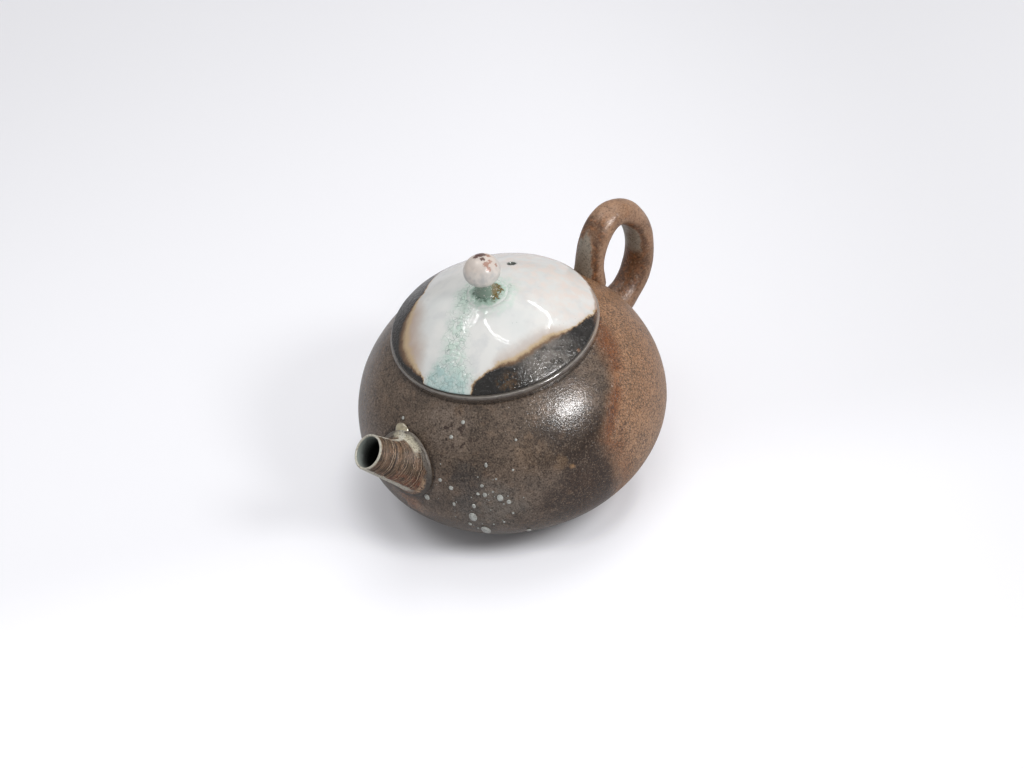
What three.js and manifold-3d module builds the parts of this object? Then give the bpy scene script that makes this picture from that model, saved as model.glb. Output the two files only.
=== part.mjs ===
// A small round porcelain teapot with a lift-off lid, in millimetres, +Z up.
// The origin is the centre of the flat foot; the spout points along -X and the handle along +X.
// Every piece of clay is a solid of its own, luted to its neighbour or, for the lid, resting on it.
import * as THREE from 'three';
import { mergeVertices } from 'three/addons/utils/BufferGeometryUtils.js';
import Module from 'manifold-3d';

const wasm = await Module();
wasm.setup();

// Thrown globe of the body
const girthRadius = 40;
const girthHeight = 23; // the widest girth above the table
const shoulderRise = 32.3; // how far the upper curve would climb above the girth if it closed
const undersideDrop = 24.75; // how far the lower curve would sink below the girth if it closed
const shoulderFullness = 2.07; // 2 is an ellipse, and more is squarer
const undersideFullness = 2.065;
const wallThickness = 2.6;
const floorThickness = 2.8;

// Turned foot
const footRadius = 17.6;
const footHeight = 1.2;
const footBevel = 0.3;

// Collar round the mouth, on which the lid rests
const mouthRadius = 22.5;
const collarWidth = 3.9;
const collarLean = 0.2; // how much wider the collar is at its top
const collarHeight = 2.2;
const collarRound = 0.5;

// Spout, luted to the globe by its flared root
const spoutRootRise = 9.8; // its axis meets the globe this far above the girth
const spoutRootTurn = THREE.MathUtils.degToRad(183); // where its root sits round the globe
const spoutHeading = THREE.MathUtils.degToRad(166); // the way that it points, seen from above
const spoutTilt = THREE.MathUtils.degToRad(50.9); // its axis above the horizontal
const spoutLength = 13.1; // from the globe to the lip, along the axis
const spoutTipRadius = 4.5;
const spoutRootRadius = 5.5;
const spoutLipWall = 0.75;
const spoutRootWall = 1.3;
const spoutStraightShare = 0.6; // the share of the tube that runs straight before it flares
const flareHalfWidth = 8.8;
const flareHalfHeight = 8.4;
const flareEdge = 0.8;

// Pierced strainer, luted inside the globe over the spout's bore
const strainerRadius = 8.4;
const strainerWall = 1.5;
const strainerHoleRadius = 0.9;
const strainerHoleRings = [
  { tilt: 0, holes: 1 },
  { tilt: 28, holes: 6 },
  { tilt: 54, holes: 9 },
];

// Pulled handle: an oval section along an upright loop behind the globe
const handleRootRise = 18.4; // its upper root above the girth
const handleHeelRise = 4.2; // its lower root above the girth
const handleCrestReach = 3.4; // the crest of its centre line beyond the girth
const handleCrestRise = 31.8; // and above it
const handleBulgeReach = 12.4; // its outermost point beyond the girth
const handleBulgeRise = 19.5;
const handleRootPull = 5.8; // how far the line is drawn straight up at the root
const handleCrestPull = 5.7; // how far it is drawn level to the crest
const handleHeelPull = 7.1; // how far it is drawn straight out at the heel
const handleHeelTilt = THREE.MathUtils.degToRad(8);
const handleCrestRoundness = 0.55; // 0.55 rounds a quarter turn like a circle
const handleHeelRoundness = 0.6;
const handleBite = 3; // how far the line runs on into the globe before it is cut off
const handleDive = 4.8; // and how far down, at the upper root
const handleUpperThickness = 6.2;
const handleLowerThickness = 7.2;
const handleWidth = 8.4;
const handleFlare = 0.25; // how much wider the section is at its two roots
const handleFlareLength = 3.5;

// Lid
const lidInset = 0.4; // its edge inside the collar's
const lidDomeRise = 9.7;
const lidFullness = 2.1;
const lidEdgeHeight = 0.8;
const lidEdgeRound = 0.55;
const lidWall = 2.3;
const lidSeatClearance = 0.3;
const lidRingDepth = 5.2;
const lidRingWall = 1.6;
const lidRingClearance = 0.35;
const lidRingBevel = 0.4;
const lidEdgeSweep = 52; // degrees above level at which the edge's round passes into the dome
const ventRadius = 1;
const ventReach = 14.2;
const ventTurn = THREE.MathUtils.degToRad(21.2); // from the handle's side

// Knob: a slightly squashed ball on a short neck
const knobRadius = 4.7;
const knobHalfHeight = 3.9;
const knobCentreRise = 7.4; // the ball's centre above its seat on the lid
const knobSeatRadius = 3.1;
const knobNeckRadius = 2.3;
const knobFilletShare = 0.2; // the seat's fillet ends at this share of the neck's height
const knobNeckShare = 0.5; // and the neck is narrowest at this one

const lutingGap = 0.3; // between a piece and the curved surface that it is luted to
const overshoot = 2; // how far a cutting solid runs on past what it cuts

// How finely round forms are divided
const globeSides = 48;
const globeSteps = 8;
const lidSides = 48;
const lidSteps = 7;
const knobSides = 24;
const knobSteps = 8;
const roundSteps = 3;
const footSides = 40;
const spoutSides = 28;
const spoutTubeSteps = 3;
const spoutFlareSteps = 6;
const boreSides = 20;
const strainerSides = 20;
const strainerSteps = 4;
const strainerHoleSides = 6;
const ventSides = 10;
const handleSides = 16;
const handleSteps = 34;

// Places that follow from the sizes above
const collarBaseRadius = mouthRadius + collarWidth;
const collarTopRadius = collarBaseRadius + collarLean;
const lidRadius = collarTopRadius - lidInset;
const collarSeatHeight = globeHeightAt(collarBaseRadius);
const rimHeight = collarSeatHeight + collarHeight;
const lidBaseHeight = rimHeight + lidSeatClearance;
const knobSeatHeight = lidHeightAt(knobSeatRadius);
const sideways = new THREE.Vector3(0, 1, 0);
const spoutSide = new THREE.Vector3(Math.sin(spoutHeading), -Math.cos(spoutHeading), 0);
const spoutAxis = new THREE.Vector3(
  Math.cos(spoutHeading) * Math.cos(spoutTilt), Math.sin(spoutHeading) * Math.cos(spoutTilt),
  Math.sin(spoutTilt));
const spoutUp = spoutSide.clone().cross(spoutAxis);
const spoutRoot = globePoint(spoutRootTurn, girthHeight + spoutRootRise, 0);
const spoutTip = spoutRoot.clone().addScaledVector(spoutAxis, spoutLength);
const spoutSeat = globeNormal(spoutRootTurn, spoutRoot.z); // square to the globe under the spout

const brownGlaze = { color: 0x6b5443, roughness: 0.5, metalness: 0 };
const greyGlaze = { color: 0x5f554e, roughness: 0.5, metalness: 0 };
const paleGlaze = { color: 0xd4d8d6, roughness: 0.15, metalness: 0 };
const bareClay = { color: 0xb9a58c, roughness: 0.85, metalness: 0 };

// The globe's radius at a height, drawn in by an inset or let out by a negative one
function globeRadiusAt(height, inset = 0) {
  const above = height >= girthHeight;
  const reach = (above ? shoulderRise : undersideDrop) - inset;
  const fullness = above ? shoulderFullness : undersideFullness;
  const share = Math.min(Math.abs(height - girthHeight) / reach, 1);
  return (girthRadius - inset) * (1 - share ** fullness) ** (1 / fullness);
}

// The height of the globe's shoulder at a radius
function globeHeightAt(radius) {
  const share = Math.min(radius / girthRadius, 1);
  return girthHeight + shoulderRise * (1 - share ** shoulderFullness) ** (1 / shoulderFullness);
}

// The direction square to the globe at a height, in the upright plane of the angle turn
function globeNormal(turn, height) {
  const step = 0.01;
  const slope = (globeRadiusAt(height + step) - globeRadiusAt(height - step)) / (2 * step);
  return new THREE.Vector3(Math.cos(turn), Math.sin(turn), -slope).normalize();
}

// A point on the globe, or as far above it as lift says
function globePoint(turn, height, lift) {
  const radius = globeRadiusAt(height);
  return new THREE.Vector3(radius * Math.cos(turn), radius * Math.sin(turn), height)
    .addScaledVector(globeNormal(turn, height), lift);
}

// The height of the lid's outer dome at a radius
function lidHeightAt(radius) {
  return lidBaseHeight + lidEdgeHeight + lidDomeRise * (1 - (radius / lidRadius) ** lidFullness);
}

// A closed three.js shape as a solid that can be cut
function solid(geometry) {
  const bare = geometry.clone();
  bare.deleteAttribute('normal');
  bare.deleteAttribute('uv');
  const merged = mergeVertices(bare, 1e-5);
  const corners = merged.index.array;
  const kept = [];
  for (let i = 0; i < corners.length; i += 3) {
    const [a, b, c] = corners.slice(i, i + 3);
    if (a !== b && b !== c && c !== a) kept.push(a, b, c);
  }
  return new wasm.Manifold(new wasm.Mesh({
    numProp: 3,
    vertProperties: Float32Array.from(merged.attributes.position.array),
    triVerts: Uint32Array.from(kept),
  }));
}

// A named mesh of a finished solid
function piece(name, body, finish) {
  const { vertProperties, triVerts } = body.getMesh();
  const geometry = new THREE.BufferGeometry();
  geometry.setAttribute('position', new THREE.BufferAttribute(Float32Array.from(vertProperties), 3));
  geometry.setIndex(new THREE.BufferAttribute(Uint32Array.from(triVerts), 1));
  geometry.computeVertexNormals();
  const mesh = new THREE.Mesh(geometry, new THREE.MeshStandardMaterial(finish));
  mesh.name = name;
  return mesh;
}

// A profile of [radius, height] points, listed upwards on its outside, turned about the Z axis
function turned(profile, sides) {
  const points = profile.map(([radius, height]) => new THREE.Vector2(radius, height));
  return solid(new THREE.LatheGeometry(points, sides).rotateX(Math.PI / 2));
}

// Points of an arc in a profile, from one angle to another
function arc(centreRadius, centreHeight, size, from, to, steps = roundSteps) {
  return Array.from({ length: steps + 1 }, (_, i) => {
    const angle = THREE.MathUtils.degToRad(from + ((to - from) * i) / steps);
    return [centreRadius + size * Math.cos(angle), centreHeight + size * Math.sin(angle)];
  });
}

// The globe as one full solid between two heights, drawn in by an inset
function globeSolid(bottom, top, inset) {
  const drop = undersideDrop - inset;
  const rise = shoulderRise - inset;
  const lowest = Math.asin(Math.min((girthHeight - bottom) / drop, 1) ** (undersideFullness / 2));
  const highest = Math.asin(Math.min((top - girthHeight) / rise, 1) ** (shoulderFullness / 2));
  const profile = [[0, bottom]];
  for (let i = globeSteps; i > 0; i--) {
    const height = girthHeight - drop * Math.sin((lowest * i) / globeSteps) ** (2 / undersideFullness);
    profile.push([globeRadiusAt(height, inset), height]);
  }
  for (let i = 0; i <= globeSteps; i++) {
    const height = girthHeight + rise * Math.sin((highest * i) / globeSteps) ** (2 / shoulderFullness);
    profile.push([globeRadiusAt(height, inset), height]);
  }
  profile.push([0, top]);
  return turned(profile, globeSides);
}

// A round rod from one point to another, with a radius at each end
function rod(from, to, fromRadius, toRadius, sides) {
  const along = to.clone().sub(from);
  const geometry = new THREE.CylinderGeometry(toRadius, fromRadius, along.length(), sides);
  geometry.applyQuaternion(new THREE.Quaternion().setFromUnitVectors(
    new THREE.Vector3(0, 1, 0), along.clone().normalize()));
  const middle = from.clone().addScaledVector(along, 0.5);
  geometry.translate(middle.x, middle.y, middle.z);
  return solid(geometry);
}

// The full solid of the globe with a luting gap round it, which cuts what is luted to it
const globeClearance = globeSolid(footHeight, collarSeatHeight, -lutingGap);
const cavityFloor = footHeight + floorThickness;
const cavity = globeSolid(cavityFloor, collarSeatHeight + overshoot, wallThickness);
const spoutBore = makeSpoutBore();

function makeSpoutBore() {
  const reachIn = 2 * wallThickness;
  const tipBore = spoutTipRadius - spoutLipWall;
  const rootBore = spoutRootRadius - spoutRootWall;
  const widening = (rootBore - tipBore) / spoutLength;
  const outer = spoutTip.clone().addScaledVector(spoutAxis, overshoot);
  const inner = spoutRoot.clone().addScaledVector(spoutAxis, -reachIn);
  return rod(outer, inner, tipBore - widening * overshoot, rootBore + widening * reachIn, boreSides);
}

function makeBodyShell() {
  const mouthDepth = 2 * wallThickness;
  const mouth = turned([
    [0, collarSeatHeight - mouthDepth],
    [mouthRadius, collarSeatHeight - mouthDepth],
    [mouthRadius, collarSeatHeight + overshoot],
    [0, collarSeatHeight + overshoot],
  ], globeSides);
  return globeSolid(footHeight, collarSeatHeight, 0).subtract(cavity).subtract(mouth).subtract(spoutBore);
}

function makeFootDisc() {
  return turned([
    [0, 0],
    [footRadius - footBevel, 0],
    [footRadius, footBevel],
    [footRadius, footHeight],
    [0, footHeight],
  ], footSides);
}

function makeMouthCollar() {
  return turned([
    [mouthRadius, collarSeatHeight],
    [collarBaseRadius, collarSeatHeight],
    ...arc(collarTopRadius - collarRound, rimHeight - collarRound, collarRound, 0, 90),
    ...arc(mouthRadius + collarRound, rimHeight - collarRound, collarRound, 90, 180),
    [mouthRadius, collarSeatHeight],
  ], globeSides);
}

// One line of the spout's outside: straight down the tube, then out onto the globe, then into it
function spoutLine(turn) {
  const outward = spoutSide.clone().multiplyScalar(Math.cos(turn)).addScaledVector(spoutUp, Math.sin(turn));
  const lip = spoutTip.clone().addScaledVector(outward, spoutTipRadius);
  const foot = spoutRoot.clone().addScaledVector(outward, spoutRootRadius);
  const down = foot.clone().sub(lip).normalize();
  let short = 0;
  let long = 3 * spoutLength;
  while (long - short > 1e-4) {
    const middle = (short + long) / 2;
    const probe = lip.clone().addScaledVector(down, middle);
    if (Math.hypot(probe.x, probe.y) > globeRadiusAt(probe.z, -flareEdge)) short = middle;
    else long = middle;
  }
  const meeting = lip.clone().addScaledVector(down, short);
  const bend = lip.clone().addScaledVector(down, short * spoutStraightShare);
  const height = spoutRoot.z + flareHalfHeight * Math.sin(turn) * Math.hypot(spoutSeat.x, spoutSeat.y);
  const around = spoutRootTurn - (flareHalfWidth * Math.cos(turn)) / globeRadiusAt(spoutRoot.z);
  const edge = globePoint(around, height, flareEdge);
  const sweep = new THREE.QuadraticBezierCurve3(bend, meeting, edge);
  const line = Array.from({ length: spoutTubeSteps }, (_, i) => lip.clone().lerp(bend, i / spoutTubeSteps));
  line.push(...sweep.getPoints(spoutFlareSteps));
  line.push(globePoint(around, height, -flareEdge));
  return line;
}

// A closed cylinder whose sides are carried onto the spout's lines, and its ends onto lip and root
function makeSpout() {
  const rings = spoutTubeSteps + spoutFlareSteps + 1;
  const geometry = new THREE.CylinderGeometry(1, 1, 1, spoutSides, rings);
  const place = geometry.attributes.position;
  const lines = Array.from({ length: spoutSides }, (_, i) => spoutLine((2 * Math.PI * i) / spoutSides));
  const deep = spoutRoot.clone().addScaledVector(spoutSeat, -flareHalfWidth / 2);
  for (let i = 0; i < place.count; i++) {
    const ring = Math.round((0.5 - place.getY(i)) * rings);
    const onAxis = Math.hypot(place.getX(i), place.getZ(i)) < 0.5;
    const turn = Math.atan2(place.getZ(i), place.getX(i));
    const line = lines[(Math.round((turn * spoutSides) / (2 * Math.PI)) + spoutSides) % spoutSides];
    const target = onAxis ? (ring === 0 ? spoutTip : deep) : line[ring];
    place.setXYZ(i, target.x, target.y, target.z);
  }
  return solid(geometry).subtract(globeClearance).subtract(spoutBore);
}

// A half ball over the spout's bore, pierced with rings of small holes
function makeStrainerDome() {
  const inward = spoutSeat.clone().negate();
  const obliquity = spoutAxis.clone().negate().dot(inward);
  const centre = spoutRoot.clone().addScaledVector(spoutAxis, -wallThickness / obliquity);
  const stand = wallThickness + lutingGap;
  const hollow = strainerRadius - strainerWall;
  const dome = turned([
    [hollow, -stand],
    [strainerRadius, -stand],
    ...arc(0, 0, strainerRadius, 0, 90, strainerSteps),
    ...arc(0, 0, hollow, 90, 0, strainerSteps),
    [hollow, -stand],
  ], strainerSides);
  const holes = [];
  for (const ring of strainerHoleRings) {
    const tilt = THREE.MathUtils.degToRad(ring.tilt);
    for (let i = 0; i < ring.holes; i++) {
      const turn = (2 * Math.PI * (i + 0.5)) / ring.holes;
      const aim = new THREE.Vector3(
        Math.sin(tilt) * Math.cos(turn), Math.sin(tilt) * Math.sin(turn), Math.cos(tilt));
      const start = aim.clone().multiplyScalar(hollow / 2);
      const end = aim.clone().multiplyScalar(strainerRadius + overshoot);
      holes.push(rod(start, end, strainerHoleRadius, strainerHoleRadius, strainerHoleSides));
    }
  }
  const pierced = holes.reduce((rest, hole) => rest.subtract(hole), dome);
  const turnedIn = new THREE.Matrix4().makeRotationFromQuaternion(
    new THREE.Quaternion().setFromUnitVectors(new THREE.Vector3(0, 0, 1), inward)).setPosition(centre);
  const inside = globeSolid(cavityFloor + lutingGap, collarSeatHeight, wallThickness + lutingGap);
  return pierced.transform(turnedIn.elements).intersect(inside);
}

// The handle's centre line: out of the globe at its root, over the crest and the bulge, in at the heel
function handleCurve() {
  const at = (radius, height) => new THREE.Vector3(radius, 0, height);
  const rootHeight = girthHeight + handleRootRise;
  const heelHeight = girthHeight + handleHeelRise;
  const root = at(globeRadiusAt(rootHeight), rootHeight);
  const crest = at(girthRadius + handleCrestReach, girthHeight + handleCrestRise);
  const bulge = at(girthRadius + handleBulgeReach, girthHeight + handleBulgeRise);
  const heel = at(globeRadiusAt(heelHeight), heelHeight);
  const heelWay = at(Math.cos(handleHeelTilt), Math.sin(handleHeelTilt));
  const line = new THREE.CurvePath();
  line.add(new THREE.QuadraticBezierCurve3(
    at(root.x - handleBite, root.z - handleDive), at(root.x, root.z - handleBite), root));
  line.add(new THREE.CubicBezierCurve3(
    root, at(root.x, root.z + handleRootPull), at(crest.x - handleCrestPull, crest.z), crest));
  line.add(new THREE.CubicBezierCurve3(
    crest, at(THREE.MathUtils.lerp(crest.x, bulge.x, handleCrestRoundness), crest.z),
    at(bulge.x, THREE.MathUtils.lerp(bulge.z, crest.z, handleCrestRoundness)), bulge));
  line.add(new THREE.CubicBezierCurve3(
    bulge, at(bulge.x, THREE.MathUtils.lerp(bulge.z, heel.z, handleHeelRoundness)),
    heel.clone().addScaledVector(heelWay, handleHeelPull), heel));
  line.add(new THREE.LineCurve3(heel, heel.clone().addScaledVector(heelWay, -handleBite)));
  return line;
}

// An oval section extruded straight, then carried along the centre line
function makeHandle() {
  const line = handleCurve();
  const length = line.getLength();
  const rootHidden = line.curves[0].getLength();
  const section = new THREE.Shape(new THREE.EllipseCurve(0, 0, 0.5, 0.5).getPoints(handleSides));
  const geometry = new THREE.ExtrudeGeometry(section, { depth: 1, steps: handleSteps, bevelEnabled: false });
  const place = geometry.attributes.position;
  for (let i = 0; i < place.count; i++) {
    const share = place.getZ(i);
    const ahead = line.getTangent(share);
    const across = sideways.clone().cross(ahead).normalize();
    const fromRoot = Math.min(share * length - rootHidden, (1 - share) * length - handleBite);
    const flare = 1 + handleFlare * Math.exp(-((Math.max(fromRoot, 0) / handleFlareLength) ** 2));
    const thickness = THREE.MathUtils.lerp(handleUpperThickness, handleLowerThickness, share) * flare;
    const target = line.getPoint(share)
      .addScaledVector(across, place.getX(i) * thickness)
      .addScaledVector(sideways, place.getY(i) * handleWidth * flare);
    place.setXYZ(i, target.x, target.y, target.z);
  }
  return solid(geometry).subtract(globeClearance);
}

function makeLidDome() {
  const hollowRadius = mouthRadius - lidRingClearance - lidRingWall;
  const edge = arc(lidRadius - lidEdgeRound, lidBaseHeight + lidEdgeRound, lidEdgeRound, -90, lidEdgeSweep);
  const shoulder = edge[edge.length - 1][0];
  const outside = [];
  for (let i = 1; i < lidSteps; i++) {
    const radius = THREE.MathUtils.lerp(shoulder, knobSeatRadius, i / lidSteps);
    outside.push([radius, lidHeightAt(radius)]);
  }
  const inside = [];
  for (let i = 0; i <= lidSteps; i++) {
    const radius = (hollowRadius * i) / lidSteps;
    inside.push([radius, lidHeightAt(radius) - lidWall]);
  }
  const dome = turned([
    ...inside,
    [hollowRadius, lidBaseHeight],
    ...edge,
    ...outside,
    [knobSeatRadius, knobSeatHeight],
    [0, knobSeatHeight],
  ], lidSides);
  const ventX = ventReach * Math.cos(ventTurn);
  const ventY = ventReach * Math.sin(ventTurn);
  const vent = rod(
    new THREE.Vector3(ventX, ventY, lidBaseHeight),
    new THREE.Vector3(ventX, ventY, knobSeatHeight + overshoot),
    ventRadius, ventRadius, ventSides);
  return dome.subtract(vent);
}

function makeLidRing() {
  const outer = mouthRadius - lidRingClearance;
  const bottom = lidBaseHeight - lidRingDepth;
  return turned([
    [outer - lidRingWall, bottom],
    [outer - lidRingBevel, bottom],
    [outer, bottom + lidRingBevel],
    [outer, lidBaseHeight],
    [outer - lidRingWall, lidBaseHeight],
    [outer - lidRingWall, bottom],
  ], lidSides);
}

function makeLidKnob() {
  const centre = knobSeatHeight + knobCentreRise;
  const start = -Math.acos(knobNeckRadius / knobRadius);
  const ball = Array.from({ length: knobSteps + 1 }, (_, i) => {
    const angle = THREE.MathUtils.lerp(start, Math.PI / 2, i / knobSteps);
    return [knobRadius * Math.cos(angle), centre + knobHalfHeight * Math.sin(angle)];
  });
  ball[knobSteps][0] = 0;
  const neckTop = ball[0][1];
  return turned([
    [0, knobSeatHeight],
    [knobSeatRadius, knobSeatHeight],
    [(knobSeatRadius + knobNeckRadius) / 2, THREE.MathUtils.lerp(knobSeatHeight, neckTop, knobFilletShare)],
    [knobNeckRadius, THREE.MathUtils.lerp(knobSeatHeight, neckTop, knobNeckShare)],
    ...ball,
  ], knobSides);
}

const teapot = new THREE.Group();
const pot = new THREE.Group();
const lid = new THREE.Group();
pot.add(piece('body_shell', makeBodyShell(), brownGlaze));
pot.add(piece('foot_disc', makeFootDisc(), bareClay));
pot.add(piece('mouth_collar', makeMouthCollar(), greyGlaze));
pot.add(piece('spout', makeSpout(), greyGlaze));
pot.add(piece('strainer_dome', makeStrainerDome(), paleGlaze));
pot.add(piece('handle', makeHandle(), brownGlaze));
lid.add(piece('lid_dome', makeLidDome(), paleGlaze));
lid.add(piece('lid_ring', makeLidRing(), bareClay));
lid.add(piece('lid_knob', makeLidKnob(), paleGlaze));
teapot.add(pot, lid);

export default teapot;
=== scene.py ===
"""Looks of a small round wood-fired porcelain teapot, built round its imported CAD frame.

Lengths in the classes are in millimetres. Meshes are made in metres, in the frame of the
CAD part: +Z up, the spout towards -X, the handle towards +X, the origin under the foot.
"""

import logging
import math
import random
from dataclasses import dataclass
from enum import Enum
from itertools import pairwise

import bpy
import numpy as np
from mathutils import Matrix, Vector


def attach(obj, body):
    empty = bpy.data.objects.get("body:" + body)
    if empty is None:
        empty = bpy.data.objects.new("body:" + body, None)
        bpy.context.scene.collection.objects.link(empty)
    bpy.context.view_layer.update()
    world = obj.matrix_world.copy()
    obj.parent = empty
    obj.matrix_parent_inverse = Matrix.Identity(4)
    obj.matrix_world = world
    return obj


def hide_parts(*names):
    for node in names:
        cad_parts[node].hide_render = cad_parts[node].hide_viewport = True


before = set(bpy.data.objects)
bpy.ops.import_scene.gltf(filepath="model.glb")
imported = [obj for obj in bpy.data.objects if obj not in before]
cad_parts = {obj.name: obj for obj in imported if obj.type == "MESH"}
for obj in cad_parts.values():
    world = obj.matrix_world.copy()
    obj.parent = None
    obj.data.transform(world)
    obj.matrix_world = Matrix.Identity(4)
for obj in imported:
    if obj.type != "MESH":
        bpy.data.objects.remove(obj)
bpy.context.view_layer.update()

log = logging.getLogger("teapot")

MM = 0.001
MERGE = 2e-6
FULL_TURN = 2 * math.pi
UP = Vector((0, 0, 1))
SWELL_LEVEL = 0.56  # just over the middle, so that no swell reaches past the CAD part's box
LAMP_FACE = 0.285  # the radius in m of the overhead lamp's face, as the lid reflects it

Profile = list[tuple[float, float]]
Colour = tuple[float, float, float, float]
Place = tuple[float, float, float]


class Body(Enum):
    """The CAD bodies that pieces ride on."""

    POT = "pot"
    LID = "lid"


class Slot(Enum):
    """The record's material slots."""

    BODY = "body_glaze"
    COLLAR = "collar_glaze"
    SPOUT = "spout_glaze"
    HANDLE = "handle_glaze"
    LID = "lid_glaze"
    KNOB = "knob_glaze"
    INSIDE = "inner_glaze"
    CLAY = "bare_clay"


def srgb(red: int, green: int, blue: int) -> Colour:
    """A colour as seen on a screen, 0 to 255, as Blender's linear one.

    Args:
        red: Its red part.
        green: Its green part.
        blue: Its blue part.

    Returns:
        The colour, not see-through.
    """
    linear = [
        c / 12.92 if c <= 0.04045 else ((c + 0.055) / 1.055) ** 2.4
        for c in (red / 255, green / 255, blue / 255)
    ]
    return (*linear, 1.0)


# Modelling


def put_away() -> None:
    """Leaves edit mode and deselects everything."""
    if bpy.context.object and bpy.context.object.mode != "OBJECT":
        bpy.ops.object.mode_set(mode="OBJECT")
    bpy.ops.object.select_all(action="DESELECT")


def pick(piece: bpy.types.Object) -> None:
    """Selects one piece alone and makes it active.

    Args:
        piece: The piece.
    """
    put_away()
    piece.select_set(True)
    bpy.context.view_layer.objects.active = piece


def named(name: str) -> bpy.types.Object:
    """Names the object that an operator has just added, and returns it.

    Args:
        name: The object's new name, which its mesh takes too.

    Returns:
        The object.
    """
    piece = bpy.context.object
    piece.name = name
    piece.data.name = name
    return piece


def arc(radius: float, height: float, size: float, start: float, end: float, steps: int) -> Profile:
    """Points of an arc in a profile.

    Args:
        radius: The arc's centre, measured from the turning axis.
        height: The arc's centre above the table.
        size: The arc's own radius.
        start: Its first angle, in degrees from level.
        end: Its last angle.
        steps: How many stretches it has.

    Returns:
        Its points, in order.
    """
    angles = [math.radians(start + (end - start) * i / steps) for i in range(steps + 1)]
    return [(radius + size * math.cos(a), height + size * math.sin(a)) for a in angles]


def turned(name: str, profile: Profile, sides: int) -> bpy.types.Object:
    """Draws half a profile edge by edge and spins it round the Z axis.

    Args:
        name: The piece's name.
        profile: Radius and height of each of its points.
        sides: How many steps the spin takes.

    Returns:
        The turned piece, its doubles merged and its faces pointing out.
    """
    put_away()
    bpy.ops.mesh.primitive_plane_add(size=MM, location=(0, 0, 0))
    piece = named(name)
    bpy.ops.object.mode_set(mode="EDIT")
    bpy.ops.mesh.merge(type="CENTER")
    start = profile[0]
    bpy.ops.transform.translate(value=(start[0] * MM, 0, start[1] * MM))
    for here, there in pairwise(profile):
        move = ((there[0] - here[0]) * MM, 0, (there[1] - here[1]) * MM)
        bpy.ops.mesh.extrude_vertices_move(TRANSFORM_OT_translate={"value": move})
    bpy.ops.mesh.select_all(action="SELECT")
    bpy.ops.mesh.spin(steps=sides, angle=FULL_TURN, center=(0, 0, 0), axis=(0, 0, 1))
    bpy.ops.mesh.select_all(action="SELECT")
    bpy.ops.mesh.remove_doubles(threshold=MERGE)
    bpy.ops.mesh.normals_make_consistent(inside=False)
    bpy.ops.object.mode_set(mode="OBJECT")
    return piece


def swept(name: str, rings: list[list[Vector]], closed: bool) -> bpy.types.Object:
    """Extrudes a circle ring by ring and carries each ring to its own place.

    Args:
        name: The piece's name.
        rings: The places of every ring's points, in mm, all rings with as many.
        closed: Whether the last ring is bridged to the first, or both ends are capped.

    Returns:
        The closed tube.
    """
    count = len(rings[0])
    put_away()
    bpy.ops.mesh.primitive_circle_add(vertices=count, radius=MM, location=(0, 0, 0))
    piece = named(name)
    bpy.ops.object.mode_set(mode="EDIT")
    for _ in rings[1:]:
        bpy.ops.mesh.extrude_edges_move(TRANSFORM_OT_translate={"value": (0, 0, MM)})
    bpy.ops.object.mode_set(mode="OBJECT")
    for vertex in piece.data.vertices:
        ring = round(vertex.co.z / MM)
        turn = math.atan2(vertex.co.y, vertex.co.x) % FULL_TURN
        vertex.co = rings[ring][round(turn / FULL_TURN * count) % count] * MM
    bpy.ops.object.mode_set(mode="EDIT")
    bpy.ops.mesh.select_all(action="DESELECT")
    bpy.ops.mesh.select_non_manifold()
    if closed:
        bpy.ops.mesh.bridge_edge_loops()
    else:
        bpy.ops.mesh.edge_face_add()
    bpy.ops.mesh.select_all(action="SELECT")
    bpy.ops.mesh.normals_make_consistent(inside=False)
    bpy.ops.object.mode_set(mode="OBJECT")
    return piece


def apply_modifier(piece: bpy.types.Object, kind: str, **settings: object) -> None:
    """Adds a modifier with these settings to a piece, and applies it.

    Args:
        piece: The piece.
        kind: The modifier's type.
        **settings: The modifier's own options.
    """
    pick(piece)
    bpy.ops.object.modifier_add(type=kind)
    modifier = piece.modifiers[-1]
    for setting, value in settings.items():
        setattr(modifier, setting, value)
    bpy.ops.object.modifier_apply(modifier=modifier.name)


def smoothed(piece: bpy.types.Object, levels: int) -> None:
    """Subdivides a piece smoothly that many times."""
    apply_modifier(piece, "SUBSURF", levels=levels, render_levels=levels)


def cut(piece: bpy.types.Object, cutter: bpy.types.Object) -> None:
    """Cuts one solid out of another, and throws the cutter away."""
    apply_modifier(piece, "BOOLEAN", operation="DIFFERENCE", object=cutter, solver="EXACT")
    bpy.data.objects.remove(cutter)


def hand_made(piece: bpy.types.Object, size: float, depth: float) -> None:
    """Moves a piece's surface gently in and out, as hands and fire leave it.

    Args:
        piece: The piece.
        size: How wide the swells are, in mm.
        depth: How far the highest stands above the lowest.
    """
    swell = bpy.data.textures.new("hand_swell", "CLOUDS")
    swell.noise_scale = size * MM
    swell.noise_depth = 1
    apply_modifier(
        piece, "DISPLACE", texture=swell, strength=depth * MM, mid_level=SWELL_LEVEL, texture_coords="LOCAL"
    )


def facing(direction: Vector) -> Matrix:
    """The turn that points Z along a direction."""
    return direction.to_track_quat("Z", "Y").to_matrix().to_4x4()


def rod(name: str, start: Vector, end: Vector, radius: float, sides: int) -> bpy.types.Object:
    """A plain round cutter from one point to another, in mm.

    Args:
        name: The cutter's name.
        start: The middle of one end.
        end: The middle of the other end.
        radius: Its radius.
        sides: How many sides it has.

    Returns:
        The cutter.
    """
    put_away()
    along = end - start
    bpy.ops.mesh.primitive_cylinder_add(
        vertices=sides, radius=radius * MM, depth=along.length * MM,
        location=(start + end) / 2 * MM, rotation=along.to_track_quat("Z", "Y").to_euler(),
    )
    piece = named(name)
    settle(piece)
    return piece


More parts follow.
